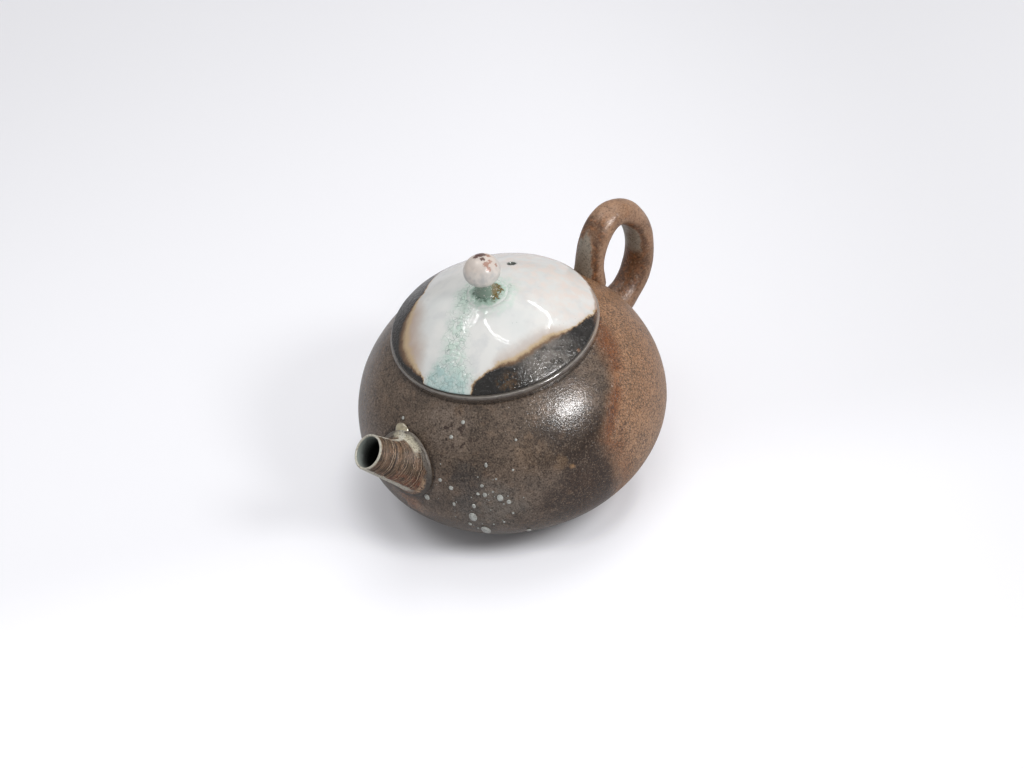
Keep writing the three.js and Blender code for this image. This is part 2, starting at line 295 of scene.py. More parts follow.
def settle(piece: bpy.types.Object) -> None:
    """Puts an object's place, turn and scale into its mesh."""
    pick(piece)
    bpy.ops.object.transform_apply(location=True, rotation=True, scale=True)


def joined(name: str, pieces: list[bpy.types.Object]) -> bpy.types.Object:
    """Joins several objects into one with a new name.

    Args:
        name: The new object's name.
        pieces: The objects.

    Returns:
        The new object.
    """
    put_away()
    for piece in pieces:
        piece.select_set(True)
    bpy.context.view_layer.objects.active = pieces[0]
    bpy.ops.object.join()
    return named(name)


def record_field(piece: bpy.types.Object, name: str, values: np.ndarray) -> None:
    """Writes one number for each vertex, which a glaze reads by its name."""
    layer = piece.data.attributes.new(name, "FLOAT", "POINT")
    layer.data.foreach_set("value", np.asarray(values, np.float32))


def vertex_places(piece: bpy.types.Object) -> np.ndarray:
    """Places of a piece's vertices in mm, as rows of x, y and z.

    Args:
        piece: The piece.

    Returns:
        One row for each vertex.
    """
    places = np.zeros(len(piece.data.vertices) * 3, np.float32)
    piece.data.vertices.foreach_get("co", places)
    return places.reshape(-1, 3) / MM


def nearest(piece: bpy.types.Object, places: list[Vector]) -> list[int]:
    """For each vertex of a piece, which of these places in mm lies nearest to it."""
    every = np.array([tuple(place) for place in places])
    return [int(np.argmin(((every - vertex) ** 2).sum(1))) for vertex in vertex_places(piece)]


def dressed(
    piece: bpy.types.Object, material: bpy.types.Material, body: Body, slot: Slot, *nodes: str
) -> None:
    """Gives a finished piece its glaze and its body.

    Args:
        piece: The piece.
        material: Its glaze.
        body: The CAD body that it rides on.
        slot: The record's material slot that it stands for; not used.
        *nodes: The CAD nodes that it stands for.
    """
    pick(piece)
    bpy.ops.object.shade_smooth()
    piece.data.materials.clear()
    piece.data.materials.append(material)
    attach(piece, body.value)
    if nodes:
        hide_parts(*nodes)
    log.info("%s: %d faces", piece.name, len(piece.data.polygons))


# Glazes


class Glaze:
    """A material's nodes, built from left to right on Object coordinates in millimetres."""

    def __init__(self, name: str) -> None:
        """Starts an empty glaze with the shader and the coordinates.

        Args:
            name: The material's name.
        """
        self.material = bpy.data.materials.new(name)
        self.material.use_nodes = True
        self.tree = self.material.node_tree
        self.shader = self.tree.nodes["Principled BSDF"]
        coordinates = self.add("ShaderNodeTexCoord")
        scaled = self.add(
            "ShaderNodeVectorMath", {0: coordinates.outputs["Object"], "Scale": 1 / MM}, operation="SCALE"
        )
        self.place = scaled.outputs[0]
        split = self.add("ShaderNodeSeparateXYZ", {0: self.place})
        self.x, self.y, self.z = split.outputs

    def add(self, kind: str, values: dict | None = None, **settings: object) -> bpy.types.Node:
        """Adds a node.

        Args:
            kind: The node's type.
            values: A number, colour or another node's socket for each input.
            **settings: The node's own options.

        Returns:
            The node.
        """
        node = self.tree.nodes.new(kind)
        for setting, value in settings.items():
            setattr(node, setting, value)
        for socket, value in (values or {}).items():
            if isinstance(value, bpy.types.NodeSocket):
                self.tree.links.new(value, node.inputs[socket])
            else:
                node.inputs[socket].default_value = value
        return node

    def noise(self, size: float, detail: float = 2, seed: float = 0, warp: float = 0) -> bpy.types.NodeSocket:
        """Soft noise around 0.5, with swells about as wide as size in mm.

        Args:
            size: How wide the swells are.
            detail: How many finer layers it has.
            seed: Which of its patterns it is.
            warp: How far it is twisted.

        Returns:
            The noise.
        """
        node = self.add(
            "ShaderNodeTexNoise",
            {"Vector": self.place, "W": seed, "Scale": 1 / size, "Detail": detail, "Distortion": warp},
            noise_dimensions="4D",
        )
        return node.outputs["Fac"]

    def cells(self, size: float, feature: str = "F1", seed: float = 0) -> bpy.types.NodeSocket:
        """Distance within cells about as wide as size in mm, to their middle or their edge.

        Args:
            size: How wide the cells are.
            feature: What is measured in them.
            seed: How far the pattern is shifted.

        Returns:
            The distance, as a share of size.
        """
        shifted = self.add("ShaderNodeVectorMath", {0: self.place, 1: (seed, seed, seed)}, operation="ADD")
        node = self.add(
            "ShaderNodeTexVoronoi", {"Vector": shifted.outputs[0], "Scale": 1 / size}, feature=feature
        )
        return node.outputs["Distance"]

    def field(self, name: str) -> bpy.types.NodeSocket:
        """A number that the piece's mesh carries under this name."""
        return self.add("ShaderNodeAttribute", attribute_name=name).outputs["Fac"]

    def distance(self, place: Place) -> bpy.types.NodeSocket:
        """How far the surface is from a place, in mm."""
        away = self.add("ShaderNodeVectorMath", {0: self.place, 1: place}, operation="DISTANCE")
        return away.outputs["Value"]

    def reach(self) -> bpy.types.NodeSocket:
        """How far the surface is from the turning axis, in mm."""
        return self.math("SQRT", self.plus(self.times(self.x, self.x), self.times(self.y, self.y)))

    def math(self, operation: str, first: object, second: object = 0.0) -> bpy.types.NodeSocket:
        """One step of arithmetic."""
        return self.add("ShaderNodeMath", {0: first, 1: second}, operation=operation).outputs[0]

    def plus(self, first: object, second: object) -> bpy.types.NodeSocket:
        """A sum."""
        return self.math("ADD", first, second)

    def times(self, first: object, second: object) -> bpy.types.NodeSocket:
        """A product."""
        return self.math("MULTIPLY", first, second)

    def swing(self, noise: bpy.types.NodeSocket, reach: float) -> bpy.types.NodeSocket:
        """Noise moved to swing about zero, mostly within plus and minus a third of reach."""
        return self.times(self.plus(noise, -0.5), reach)

    def ease(
        self, value: object, low: float, high: float, start: float = 0.0, end: float = 1.0
    ) -> bpy.types.NodeSocket:
        """Runs smoothly from start at low to end at high, and stays there beyond."""
        values = {0: value, 1: low, 2: high, 3: start, 4: end}
        return self.add("ShaderNodeMapRange", values, interpolation_type="SMOOTHSTEP").outputs[0]

    def clouds(
        self, size: float, detail: float, low: float, high: float, start: float = 0.0, end: float = 1.0,
        seed: float = 0,
    ) -> bpy.types.NodeSocket:
        """Soft patches: noise eased from start, where it is under low, to end, where it is over high."""
        return self.ease(self.noise(size, detail, seed=seed), low, high, start, end)

    def fray(
        self, value: object, swing: float, size: float, detail: float = 2, seed: float = 0
    ) -> bpy.types.NodeSocket:
        """A value whose borders noise makes ragged, moved mostly by less than a third of swing."""
        return self.plus(value, self.swing(self.noise(size, detail, seed=seed), swing))

    def hump(self, value: object, middle: float, width: float) -> bpy.types.NodeSocket:
        """One at middle, easing to zero width away on either side."""
        away = self.math("ABSOLUTE", self.plus(value, -middle))
        return self.ease(away, 0, width, 1, 0)

    def spot(self, place: Place, radius: float, soft: float, ragged: float = 0) -> object:
        """A patch round a place.

        Args:
            place: Its middle in mm.
            radius: Its radius.
            soft: How wide its edge is.
            ragged: How far noise moves that edge.

        Returns:
            One inside it and zero outside.
        """
        away = self.distance(place)
        if ragged:
            away = self.plus(away, self.swing(self.noise(radius * 0.8, 3, seed=radius), ragged))
        return self.ease(away, radius - soft / 2, radius + soft / 2, 1, 0)

    def mix(self, share: object, first: object, second: object) -> bpy.types.NodeSocket:
        """Blends two colours: the first at share zero and the second at one."""
        node = self.add("ShaderNodeMix", {0: share, 6: first, 7: second}, data_type="RGBA")
        return node.outputs[2]

    def shade(self, colour: object, share: object, tint: object) -> bpy.types.NodeSocket:
        """Multiplies a colour by a tint as far as share says."""
        values = {0: share, 6: colour, 7: tint}
        return self.add("ShaderNodeMix", values, data_type="RGBA", blend_type="MULTIPLY").outputs[2]

    def blend(self, share: object, first: object, second: object) -> bpy.types.NodeSocket:
        """Blends two numbers."""
        return self.add("ShaderNodeMix", {0: share, 2: first, 3: second}, data_type="FLOAT").outputs[0]

    def bump(self, height: object, depth: float, under: object = None) -> bpy.types.NodeSocket:
        """Relief as deep as depth in mm, on top of another relief.

        Args:
            height: The relief's height, from 0 to 1.
            depth: How far 1 stands above 0.
            under: The relief that this one lies on.

        Returns:
            Both reliefs together.
        """
        values = {"Height": height, "Distance": depth * MM, "Strength": 1.0}
        if under is not None:
            values["Normal"] = under
        return self.add("ShaderNodeBump", values).outputs[0]

    def fire(
        self, colour: object, roughness: object, normal: object = None, **constants: float
    ) -> bpy.types.Material:
        """Sets the shader.

        Args:
            colour: A colour or a socket.
            roughness: A number or a socket.
            normal: The relief.
            **constants: Numbers for the shader's other inputs, with _ for a space.

        Returns:
            The finished material.
        """
        for socket, value in (("Base Color", colour), ("Roughness", roughness), ("Normal", normal)):
            if isinstance(value, bpy.types.NodeSocket):
                self.tree.links.new(value, self.shader.inputs[socket])
            elif value is not None:
                self.shader.inputs[socket].default_value = value
        for socket, value in constants.items():
            self.shader.inputs[socket.replace("_", " ")].default_value = value
        return self.material


@dataclass(frozen=True)
class Stain:
    """A soft ragged patch of colour on a glaze."""

    place: Place
    radius: float
    colour: Colour
    strength: float


@dataclass(frozen=True)
class BodyGlaze:
    """Satin ash glaze: grey-brown towards the spout, warm brown towards the handle."""

    umber: Colour = srgb(118, 101, 87)
    soot: Colour = srgb(88, 75, 64)
    bark_and_painted_shade: Colour = srgb(50, 39, 32)
    warm: Colour = srgb(168, 126, 92)
    toast: Colour = srgb(142, 108, 80)
    rust: Colour = srgb(126, 74, 36)
    cinder: Colour = srgb(52, 36, 25)
    sand_and_painted_light: Colour = srgb(186, 150, 120)
    hide: Colour = srgb(98, 68, 46)
    clot: Colour = srgb(44, 26, 20)
    grain_dark: Colour = srgb(104, 88, 76)
    grain_pale: Colour = srgb(200, 178, 154)
    spout_root: Place = (-38.31, -2.01, 32.8)
    stains: tuple[Stain, ...] = (
        Stain((-19.8, -30.2, 37.5), 4.5, srgb(134, 112, 92), 0.6),
        Stain((-23.9, -31.3, 29.3), 6.0, srgb(112, 99, 88), 0.55),
        Stain((-30.0, -26.2, 26.2), 6.0, srgb(116, 109, 101), 0.7),
        Stain((-33.5, -21.8, 21.0), 7.0, srgb(108, 102, 94), 0.6),
        Stain((-32.8, -19.4, 33.3), 4.5, srgb(66, 63, 62), 0.6),
        Stain((-34.5, -20.0, 26.2), 3.5, srgb(70, 68, 67), 0.5),
        Stain((-33.0, 14.0, 38.0), 14.0, srgb(116, 99, 84), 0.65),
        Stain((-30.4, -9.6, 43.1), 7.0, srgb(122, 106, 92), 0.65),
        Stain((-16.6, -24.4, 45.4), 5.5, srgb(108, 94, 82), 0.5),
        Stain((-10.9, -34.3, 37.7), 8.0, srgb(46, 33, 24), 0.85),
        Stain((-11.2, -38.4, 22.9), 10.0, srgb(57, 36, 22), 0.85),
        Stain((-19.5, -35.2, 21.0), 6.0, srgb(62, 50, 43), 0.6),
        Stain((-25.5, -11.9, 46.5), 1.3, srgb(140, 108, 76), 0.5),
        Stain((-13.4, -36.2, 31.9), 0.7, srgb(158, 120, 80), 0.8),
        Stain((-15.0, -35.0, 34.0), 1.8, srgb(130, 104, 78), 0.45),
        Stain((-33.6, -8.0, 41.0), 1.0, srgb(50, 34, 28), 0.6),
        Stain((-28.5, -11.5, 44.3), 5.0, srgb(126, 112, 101), 0.6),
        Stain((-39.6, -3.5, 22.0), 3.0, srgb(160, 108, 72), 0.6),
        Stain((-38.6, -6.5, 20.0), 2.2, srgb(150, 126, 106), 0.6),
    )  # fmt: skip

    def made(self) -> bpy.types.Material:
        """Mixes the glaze.

        Returns:
            Its material.
        """
        g = Glaze("body_ash_glaze")
        edge = g.plus(g.swing(g.noise(9, 3, seed=1), 9), g.swing(g.noise(2.4, 4, seed=12), 4))
        past = g.math("SUBTRACT", g.x, g.plus(g.ease(g.z, 33, 48, -2.5, 13), edge))
        warmth = g.ease(past, -3, 3)
        front = g.mix(g.clouds(6, 4, 0.36, 0.62, seed=2), self.umber, self.soot)
        for stain in self.stains:
            patch = g.spot(stain.place, stain.radius, stain.radius, stain.radius * 2.2)
            front = g.mix(g.times(patch, stain.strength), front, stain.colour)
        front = g.mix(g.clouds(2.3, 3, 0.5, 0.66, 0, 0.3, seed=17), front, self.soot)
        front = g.mix(g.clouds(2.0, 3, 0.52, 0.7, 0, 0.12, seed=18), front, self.sand_and_painted_light)
        front = g.mix(g.clouds(1.1, 4, 0.48, 0.7, 0, 0.6, seed=13), front, self.bark_and_painted_shade)
        clotted = g.times(g.spot((-30.0, -13.5, 42.0), 5.5, 6, 5), g.clouds(1.4, 4, 0.54, 0.61, seed=15))
        front = g.mix(g.times(clotted, 0.85), front, self.clot)
        back = g.mix(g.clouds(5, 3, 0.4, 0.7, 0, 0.6, seed=4), self.warm, self.toast)
        # Painted light: the lower warm side is lightened towards sand, standing in for fill light from below;
        # higher up, sand stays a real mottle.
        back = g.mix(g.ease(g.z, 38, 20, 0, 0.55), back, self.sand_and_painted_light)
        back = g.mix(g.clouds(0.8, 4, 0.5, 0.64, 0, 0.5, seed=16), back, self.hide)
        singed = g.times(g.hump(past, 2.0, 7.0), g.ease(g.z, 27, 35, 0.45, 1))
        back = g.mix(g.times(singed, g.clouds(4, 3, 0.28, 0.5, seed=5)), back, self.rust)
        colour = g.mix(g.ease(past, -5, 3), front, back)
        sooty = g.times(g.hump(past, -4.5, 6), g.ease(g.z, 44, 36, 0.15, 0.75))
        colour = g.mix(sooty, colour, self.cinder)
        creases = g.ease(g.cells(0.85, "DISTANCE_TO_EDGE", seed=4), 0.14, 0.0)
        leather = g.times(creases, g.clouds(2.5, 3, 0.3, 0.5, seed=14))
        colour = g.mix(g.times(leather, g.blend(warmth, 0.25, 0.7)), colour, self.bark_and_painted_shade)
        # Painted shade: a dark ring on the globe round the spout's flared root, where the flare's raised edge
        # would shade the body.
        away = g.distance(self.spout_root)
        colour = g.mix(g.times(g.hump(away, 9.2, 1.1), 0.7), colour, self.bark_and_painted_shade)
        grain = g.noise(0.38, 3, seed=6)
        colour = g.shade(colour, g.ease(grain, 0.48, 0.68, 0, 0.7), self.grain_dark)
        colour = g.mix(g.ease(grain, 0.48, 0.27, 0, 0.22), colour, self.grain_pale)
        pits = g.times(g.ease(g.cells(0.75, "F1", seed=9), 0.26, 0.1), g.clouds(3, 2, 0.4, 0.56, seed=8))
        colour = g.mix(g.times(pits, 0.45), colour, self.bark_and_painted_shade)
        rough = g.plus(g.ease(past, -2, 4, 0.25, 0.42), g.swing(g.noise(3, 3, seed=7), 0.1))
        relief = g.bump(g.noise(5, 2, seed=10), 0.14)
        relief = g.bump(g.times(g.noise(1.0, 2, seed=11), g.blend(warmth, 0.16, 1)), 0.16, relief)
        relief = g.bump(g.times(grain, g.blend(warmth, 1.15, 1)), 0.035, relief)
        relief = g.bump(pits, -0.045, relief)
        relief = g.bump(g.times(leather, g.blend(warmth, 0.25, 1)), -0.04, relief)
        return g.fire(colour, rough, relief, Specular_IOR_Level=0.46)


@dataclass(frozen=True)
class CollarGlaze:
    """The grey-brown glaze of the collar, browner towards the handle, with a painted highlight along its top
    edge.
    """

    slate: Colour = srgb(88, 79, 72)
    tan: Colour = srgb(134, 106, 82)
    painted_edge_highlight: Colour = srgb(176, 170, 162)
    ash: Colour = srgb(128, 118, 108)
    grit: Colour = srgb(120, 110, 104)
    edge_height: tuple[float, float] = (49.75, 50.1)

    def made(self) -> bpy.types.Material:
        """Mixes the glaze.

        Returns:
            Its material.
        """
        g = Glaze("collar_ash_glaze")
        colour = g.mix(g.ease(g.fray(g.x, 8, 5, 3), 4, 16), self.slate, self.tan)
        colour = g.mix(g.clouds(2.2, 3, 0.5, 0.7, 0, 0.4, seed=2), colour, self.ash)
        colour = g.shade(colour, g.clouds(0.45, 3, 0.5, 0.75, 0, 0.6, seed=3), self.grit)
        # Painted highlight: a pale line along the collar's rounded top edge.
        edge = g.ease(g.fray(g.z, 0.7, 3, 3, seed=6), *self.edge_height)
        colour = g.mix(g.times(edge, 0.4), colour, self.painted_edge_highlight)
        relief = g.bump(g.noise(0.8, 2, seed=4), 0.04)
        rough = g.clouds(3, 2, 0.3, 0.7, 0.1, 0.2, seed=5)
        return g.fire(colour, rough, relief, Coat_Weight=1.0, Coat_Roughness=0.04)


@dataclass(frozen=True)
class SpoutGlaze:
    """Brown slip caught on the spout's throwing ridges, bare porcelain where it is wiped off."""

    slip: Colour = srgb(140, 110, 86)
    olive: Colour = srgb(92, 73, 52)
    line: Colour = srgb(30, 19, 13)
    crest: Colour = srgb(198, 174, 150)
    rust: Colour = srgb(134, 72, 42)
    umber: Colour = srgb(84, 77, 71)
    tan: Colour = srgb(196, 164, 134)
    ash: Colour = srgb(124, 116, 107)
    cream: Colour = srgb(206, 202, 188)
    pool: Colour = srgb(205, 198, 176)
    inside: Colour = srgb(136, 142, 137)
    # painted shade: near black, deep inside the bore
    dark: Colour = srgb(12, 12, 12)
    grit: Colour = srgb(112, 100, 90)
    over_lip: float = 77.0
    under_belly: float = 240.0

    def strip(self, g: Glaze, turn: float, half_width: float) -> bpy.types.NodeSocket:
        """A ragged strip along the tube.

        Args:
            g: The glaze that is being mixed.
            turn: Where its middle lies round the tube, in degrees.
            half_width: How far it reaches to either side.

        Returns:
            One inside it and zero outside.
        """
        middle = math.radians(turn)
        sideward = g.times(g.field("spout_sideward"), math.cos(middle))
        upward = g.times(g.field("spout_upward"), math.sin(middle))
        near = g.fray(g.plus(sideward, upward), 0.05, 1.4, 3, seed=turn)
        edge = math.cos(math.radians(half_width))
        return g.ease(near, edge, edge + 0.012)

    def slip_bands(self, g: Glaze) -> tuple[bpy.types.NodeSocket, bpy.types.NodeSocket]:
        """Mixes the striped slip on the tube, and returns its colour and its stripes.

        Args:
            g: The glaze that is being mixed.

        Returns:
            The slip's colour, and the stripes in it.
        """
        along, upward, groove = g.field("spout_along"), g.field("spout_upward"), g.field("spout_groove")
        colour = g.mix(g.clouds(2.0, 4, 0.38, 0.62, seed=1), self.slip, self.olive)
        lower = g.times(g.ease(upward, 0.2, -0.5), g.ease(along, 3, 8))
        colour = g.mix(g.times(lower, g.clouds(1.2, 4, 0.4, 0.58, seed=2)), colour, self.rust)
        wander = g.plus(g.swing(g.noise(1.6, 2, seed=10), 2.2), g.swing(g.noise(0.5, 3, seed=11), 2.2))
        wander = g.plus(g.times(along, 3.1), wander)
        bands = g.add("ShaderNodeTexNoise", {"W": wander, "Scale": 1.0, "Detail": 3.0}, noise_dimensions="1D")
        stripes = bands.outputs["Fac"]
        broken = g.clouds(0.9, 3, 0.34, 0.56, 0.35, 1, seed=15)
        colour = g.mix(g.times(g.ease(stripes, 0.56, 0.42, 0, 0.95), broken), colour, self.line)
        colour = g.mix(g.times(g.ease(stripes, 0.56, 0.68, 0, 0.75), broken), colour, self.crest)
        return g.mix(g.times(g.ease(groove, 0.7, 1.8), 0.8), colour, self.line), stripes

    def made(self) -> bpy.types.Material:
        """Mixes the glaze.

        Returns:
            Its material.
        """
        g = Glaze("spout_slip_glaze")
        along, upward, flare = g.field("spout_along"), g.field("spout_upward"), g.field("spout_flare")
        colour, stripes = self.slip_bands(g)
        border = g.ease(g.fray(flare, 0.35, 1.6, 3, seed=3), 0.74, 0.84)
        ashen = g.mix(g.ease(g.fray(upward, 0.9, 1.2, 3, seed=16), -0.3, 0.6), self.umber, self.ash)
        colour = g.mix(border, colour, ashen)
        top = g.ease(g.fray(upward, 0.8, 1.2, 4, seed=4), 0.62, 0.92)
        poured = g.ease(g.fray(flare, 0.3, 1, 3, seed=13), 0.98, 0.84)
        poured = g.times(g.ease(flare, 0.5, 0.62), poured)
        colour = g.mix(g.times(g.times(top, poured), 0.92), colour, self.pool)
        tan = g.times(g.hump(flare, 0.72, 0.16), g.ease(upward, -0.9, -0.6))
        tan = g.times(g.ease(upward, 0.15, -0.35), tan)
        colour = g.mix(g.times(tan, g.clouds(0.8, 3, 0.4, 0.55, seed=12)), colour, self.tan)
        belly = g.times(self.strip(g, self.under_belly, 17), g.ease(flare, 0.75, 0.35))
        near_lip = g.ease(g.fray(along, 0.4, 1.2, 2, seed=5), 0.5, 0.25)
        bare = g.math("MAXIMUM", g.math("MAXIMUM", belly, self.strip(g, self.over_lip, 9)), near_lip)
        colour = g.mix(g.times(bare, 0.9), colour, self.cream)
        colour = g.shade(colour, g.clouds(0.35, 3, 0.48, 0.7, 0, 0.8, seed=7), self.grit)
        # Painted shade: the bore's pale glaze darkens to near black deeper inside the spout.
        bore_painted_shade = g.mix(g.ease(along, -0.8, -5.0), self.inside, self.dark)
        colour = g.mix(g.ease(along, -0.2, -0.5), colour, bore_painted_shade)
        relief = g.bump(stripes, 0.18)
        relief = g.bump(g.noise(0.5, 3, seed=8), 0.09, relief)
        return g.fire(colour, g.clouds(2, 2, 0.3, 0.7, 0.34, 0.5, seed=9), relief, Specular_IOR_Level=0.45)


@dataclass(frozen=True)
class CapGlaze:
    """The ivory pool of glaze on top of the spout's root."""

    ivory: Colour = srgb(188, 178, 150)
    smoke: Colour = srgb(122, 112, 98)

    def made(self) -> bpy.types.Material:
        """Mixes the glaze.

        Returns:
            Its material.
        """
        g = Glaze("root_cap_glaze")
        colour = g.mix(g.ease(g.fray(g.z, 2, 0.9, 3), 40.7, 42.1), self.ivory, self.smoke)
        relief = g.bump(g.noise(0.6, 2, seed=2), 0.08)
        return g.fire(colour, 0.24, relief, Coat_Weight=0.3, Coat_Roughness=0.1)


@dataclass(frozen=True)
class HandleGlaze:
    """Mottled warm brown, with grey ash on the faces that look at the lid."""

    brown: Colour = srgb(160, 124, 96)
    toast: Colour = srgb(92, 63, 42)
    orange: Colour = srgb(138, 88, 50)
    ash: Colour = srgb(142, 134, 122)
    char: Colour = srgb(44, 36, 33)
    grit: Colour = srgb(112, 98, 88)
    fleck_and_glint: Colour = srgb(206, 178, 150)

    def made(self) -> bpy.types.Material:
        """Mixes the glaze.

        Returns:
            Its material.
        """
        g = Glaze("handle_ash_glaze")
        lidward = g.field("handle_lidward")
        colour = g.mix(g.clouds(5, 3, 0.46, 0.74, 0, 0.5, seed=1), self.brown, self.toast)
        colour = g.mix(g.times(g.ease(g.noise(3, 3, seed=2, warp=1), 0.52, 0.7), 0.3), colour, self.orange)
        looks_in = g.fray(lidward, 0.5, 2.2, 4, seed=3)
        inner = g.ease(looks_in, 0.05, 0.4)
        below = g.ease(g.fray(g.z, 8, 4, 3, seed=5), 44, 36)
        streaks = g.mix(g.ease(g.noise(1.6, 4, seed=10, warp=1.5), 0.42, 0.62), self.toast, self.orange)
        colour = g.mix(g.times(g.times(inner, below), 0.92), colour, streaks)
        colour = g.mix(g.times(below, 0.35), colour, self.toast)
        high = g.ease(g.fray(g.z, 4, 3, 3, seed=4), 38.5, 41)
        low = g.ease(g.fray(g.z, 5, 2.5, 4, seed=11), 59, 56.5)
        singed = g.times(g.hump(looks_in, 0.5, 0.34), g.times(high, g.ease(g.z, 60, 56)))
        scorch = g.mix(g.clouds(1.5, 3, 0.48, 0.66, seed=12), self.toast, self.orange)
        colour = g.mix(g.times(singed, 0.95), colour, scorch)
        ashen = g.times(g.ease(looks_in, 0.62, 0.76), g.times(high, low))
        colour = g.mix(g.times(ashen, 0.95), colour, self.ash)
        colour = g.mix(g.times(g.spot((47.2, -1.4, 32.4), 1.1, 1.2, 1.5), 0.85), colour, self.char)
        fine = g.noise(0.45, 3, seed=6)
        colour = g.shade(colour, g.ease(fine, 0.48, 0.7, 0, 0.6), self.grit)
        colour = g.mix(g.ease(fine, 0.48, 0.25, 0, 0.25), colour, self.fleck_and_glint)
        relief = g.bump(g.noise(3, 2, seed=7), 0.2)
        relief = g.bump(g.noise(0.7, 2, seed=8), 0.12, relief)
        return g.fire(colour, g.clouds(3, 2, 0.3, 0.7, 0.34, 0.48, seed=9), relief, Specular_IOR_Level=0.45)


@dataclass(frozen=True)
class LidGlaze:
    """Glossy white glaze with charcoal patches, a celadon run and a turquoise pool."""

    white: Colour = srgb(223, 223, 220)
    grey: Colour = srgb(214, 216, 214)
    cloud: Colour = srgb(200, 202, 203)
    cream: Colour = srgb(224, 212, 204)
    celadon: Colour = srgb(190, 212, 199)
    turquoise: Colour = srgb(168, 194, 192)
    crackle: Colour = srgb(100, 126, 120)
    milk: Colour = srgb(230, 234, 231)
    ochre: Colour = srgb(190, 166, 130)
    rust: Colour = srgb(108, 78, 52)
    blush: Colour = srgb(180, 160, 146)
    charcoal: Colour = srgb(38, 34, 31)
    black: Colour = srgb(18, 14, 10)
    painted_sheen: Colour = srgb(104, 98, 92)
    fleck_and_glint: Colour = srgb(170, 166, 160)
    brown: Colour = srgb(74, 52, 26)
    rim: Colour = srgb(142, 104, 76)
    vent: Colour = srgb(70, 78, 70)
    craters: tuple[Place, ...] = (
        (4.2, -25.2, 51.5), (7.4, -21.4, 54.2), (1.2, -25.9, 51.2), (-1.4, -24.8, 51.9), (-3.0, -24.0, 52.6),
        (1.9, -22.6, 53.6), (-8.8, -22.6, 52.9), (10.6, -22.3, 52.5),
    )  # fmt: skip

    def pale_colour(self, g: Glaze, reach: bpy.types.NodeSocket) -> bpy.types.NodeSocket:
        """Mixes the milky white, clouded in grey and creamier towards the handle.

        Args:
            g: The glaze that is being mixed.
            reach: How far the surface is from the turning axis.

        Returns:
            The white.
        """
        colour = g.mix(g.clouds(9, 3, 0.35, 0.65, seed=1), self.white, self.grey)
        colour = g.mix(g.clouds(3.4, 4, 0.48, 0.7, 0, 0.5, seed=21), colour, self.cloud)
        right = g.ease(g.fray(g.x, 12, 8, 3, seed=2), -2, 16)
        colour = g.mix(g.times(right, g.clouds(2.5, 4, 0.38, 0.64, 0.15, 0.95, seed=3)), colour, self.cream)
        halo = g.ease(g.fray(reach, 6, 2.2, 4, seed=22), 9.5, 6.2)
        return g.mix(g.times(halo, g.clouds(1.1, 3, 0.38, 0.6, 0.1, 0.55, seed=23)), colour, self.celadon)

    def run_colour(self, g: Glaze, colour: object, run: object) -> tuple[bpy.types.NodeSocket, ...]:
        """Lays the green run over the white.

        Args:
            g: The glaze that is being mixed.
            colour: What lies under the run.
            run: How far inside the run a point is, in mm.

        Returns:
            The colour, the relief of the run and the lines of its crackle.
        """
        wet = g.ease(run, -3.0, 1.6)
        streaky = g.ease(g.noise(1.8, 4, seed=15, warp=0.6), 0.36, 0.64)
        colour = g.mix(g.times(wet, g.blend(streaky, 0.25, 0.9)), colour, self.celadon)
        spread = g.ease(g.fray(g.x, 6, 3, 3, seed=5), -17, -23.5)
        pool = g.times(g.ease(run, -2.5, 1.5), spread)
        colour = g.mix(g.times(pool, g.blend(streaky, 0.5, 1)), colour, self.turquoise)
        lines = g.ease(g.cells(1.1, "DISTANCE_TO_EDGE", seed=2), 0.07, 0.0)
        broken = g.clouds(1.5, 3, 0.4, 0.55, seed=16)
        crazed = g.times(g.times(lines, broken), g.ease(run, -3.0, 0.5))
        colour = g.mix(g.times(crazed, 0.6), colour, self.crackle)
        glints = g.ease(g.cells(0.7, "F1", seed=12), 0.22, 0.08)
        glints = g.times(glints, g.clouds(1.2, 3, 0.5, 0.62, seed=17))
        colour = g.mix(g.times(g.times(glints, wet), 0.8), colour, self.milk)
        return colour, g.times(wet, streaky), crazed

    def charcoal_colour(self, g: Glaze) -> bpy.types.NodeSocket:
        """Mixes the dark patches: black at the spout's end, with a painted grey sheen and painted glints in
        their middle.

        Args:
            g: The glaze that is being mixed.

        Returns:
            The dark colour.
        """
        inner = g.mix(g.clouds(2.2, 4, 0.36, 0.58, seed=8), self.charcoal, self.black)
        # Painted reflection: a grey sheen in the middle of the front patch, standing in for lamps mirrored in
        # the dark glaze.
        ashen = g.spot((-3.6, -22.0, 53.5), 6.5, 8, 6)
        inner = g.mix(g.times(ashen, g.clouds(2.4, 4, 0.34, 0.56, 0.25, 1, seed=9)), inner, self.painted_sheen)
        burnt = g.spot((-16.5, -16.6, 53.2), 5.5, 4, 4)
        inner = g.mix(g.times(burnt, 0.85), inner, self.black)
        amber = g.times(g.spot((-14.4, -20.0, 52.6), 2.4, 2.4, 4), g.clouds(0.8, 3, 0.38, 0.6, seed=24))
        inner = g.mix(g.times(amber, 0.95), inner, self.brown)
        inner = g.mix(g.times(g.spot((4.3, -25.4, 51.2), 0.5, 0.5, 0.8), 0.8), inner, self.rim)
        # Painted glints: pale specks on the bubbles inside the painted sheen; elsewhere they stay charcoal.
        bubbles = g.times(g.ease(g.cells(0.8, "F1", seed=5), 0.2, 0.1), g.clouds(3, 2, 0.42, 0.56, seed=12))
        return g.mix(g.times(bubbles, 0.8), inner, g.mix(ashen, self.charcoal, self.fleck_and_glint))

    def made(self) -> bpy.types.Material:
        """Mixes the glaze.

        Returns:
            Its material.
        """
        g = Glaze("lid_pale_glaze")
        reach = g.reach()
        run = g.fray(g.field("lid_run"), 4.5, 2.6, 4, seed=4)
        colour, wet_relief, crazed = self.run_colour(g, self.pale_colour(g, reach), run)

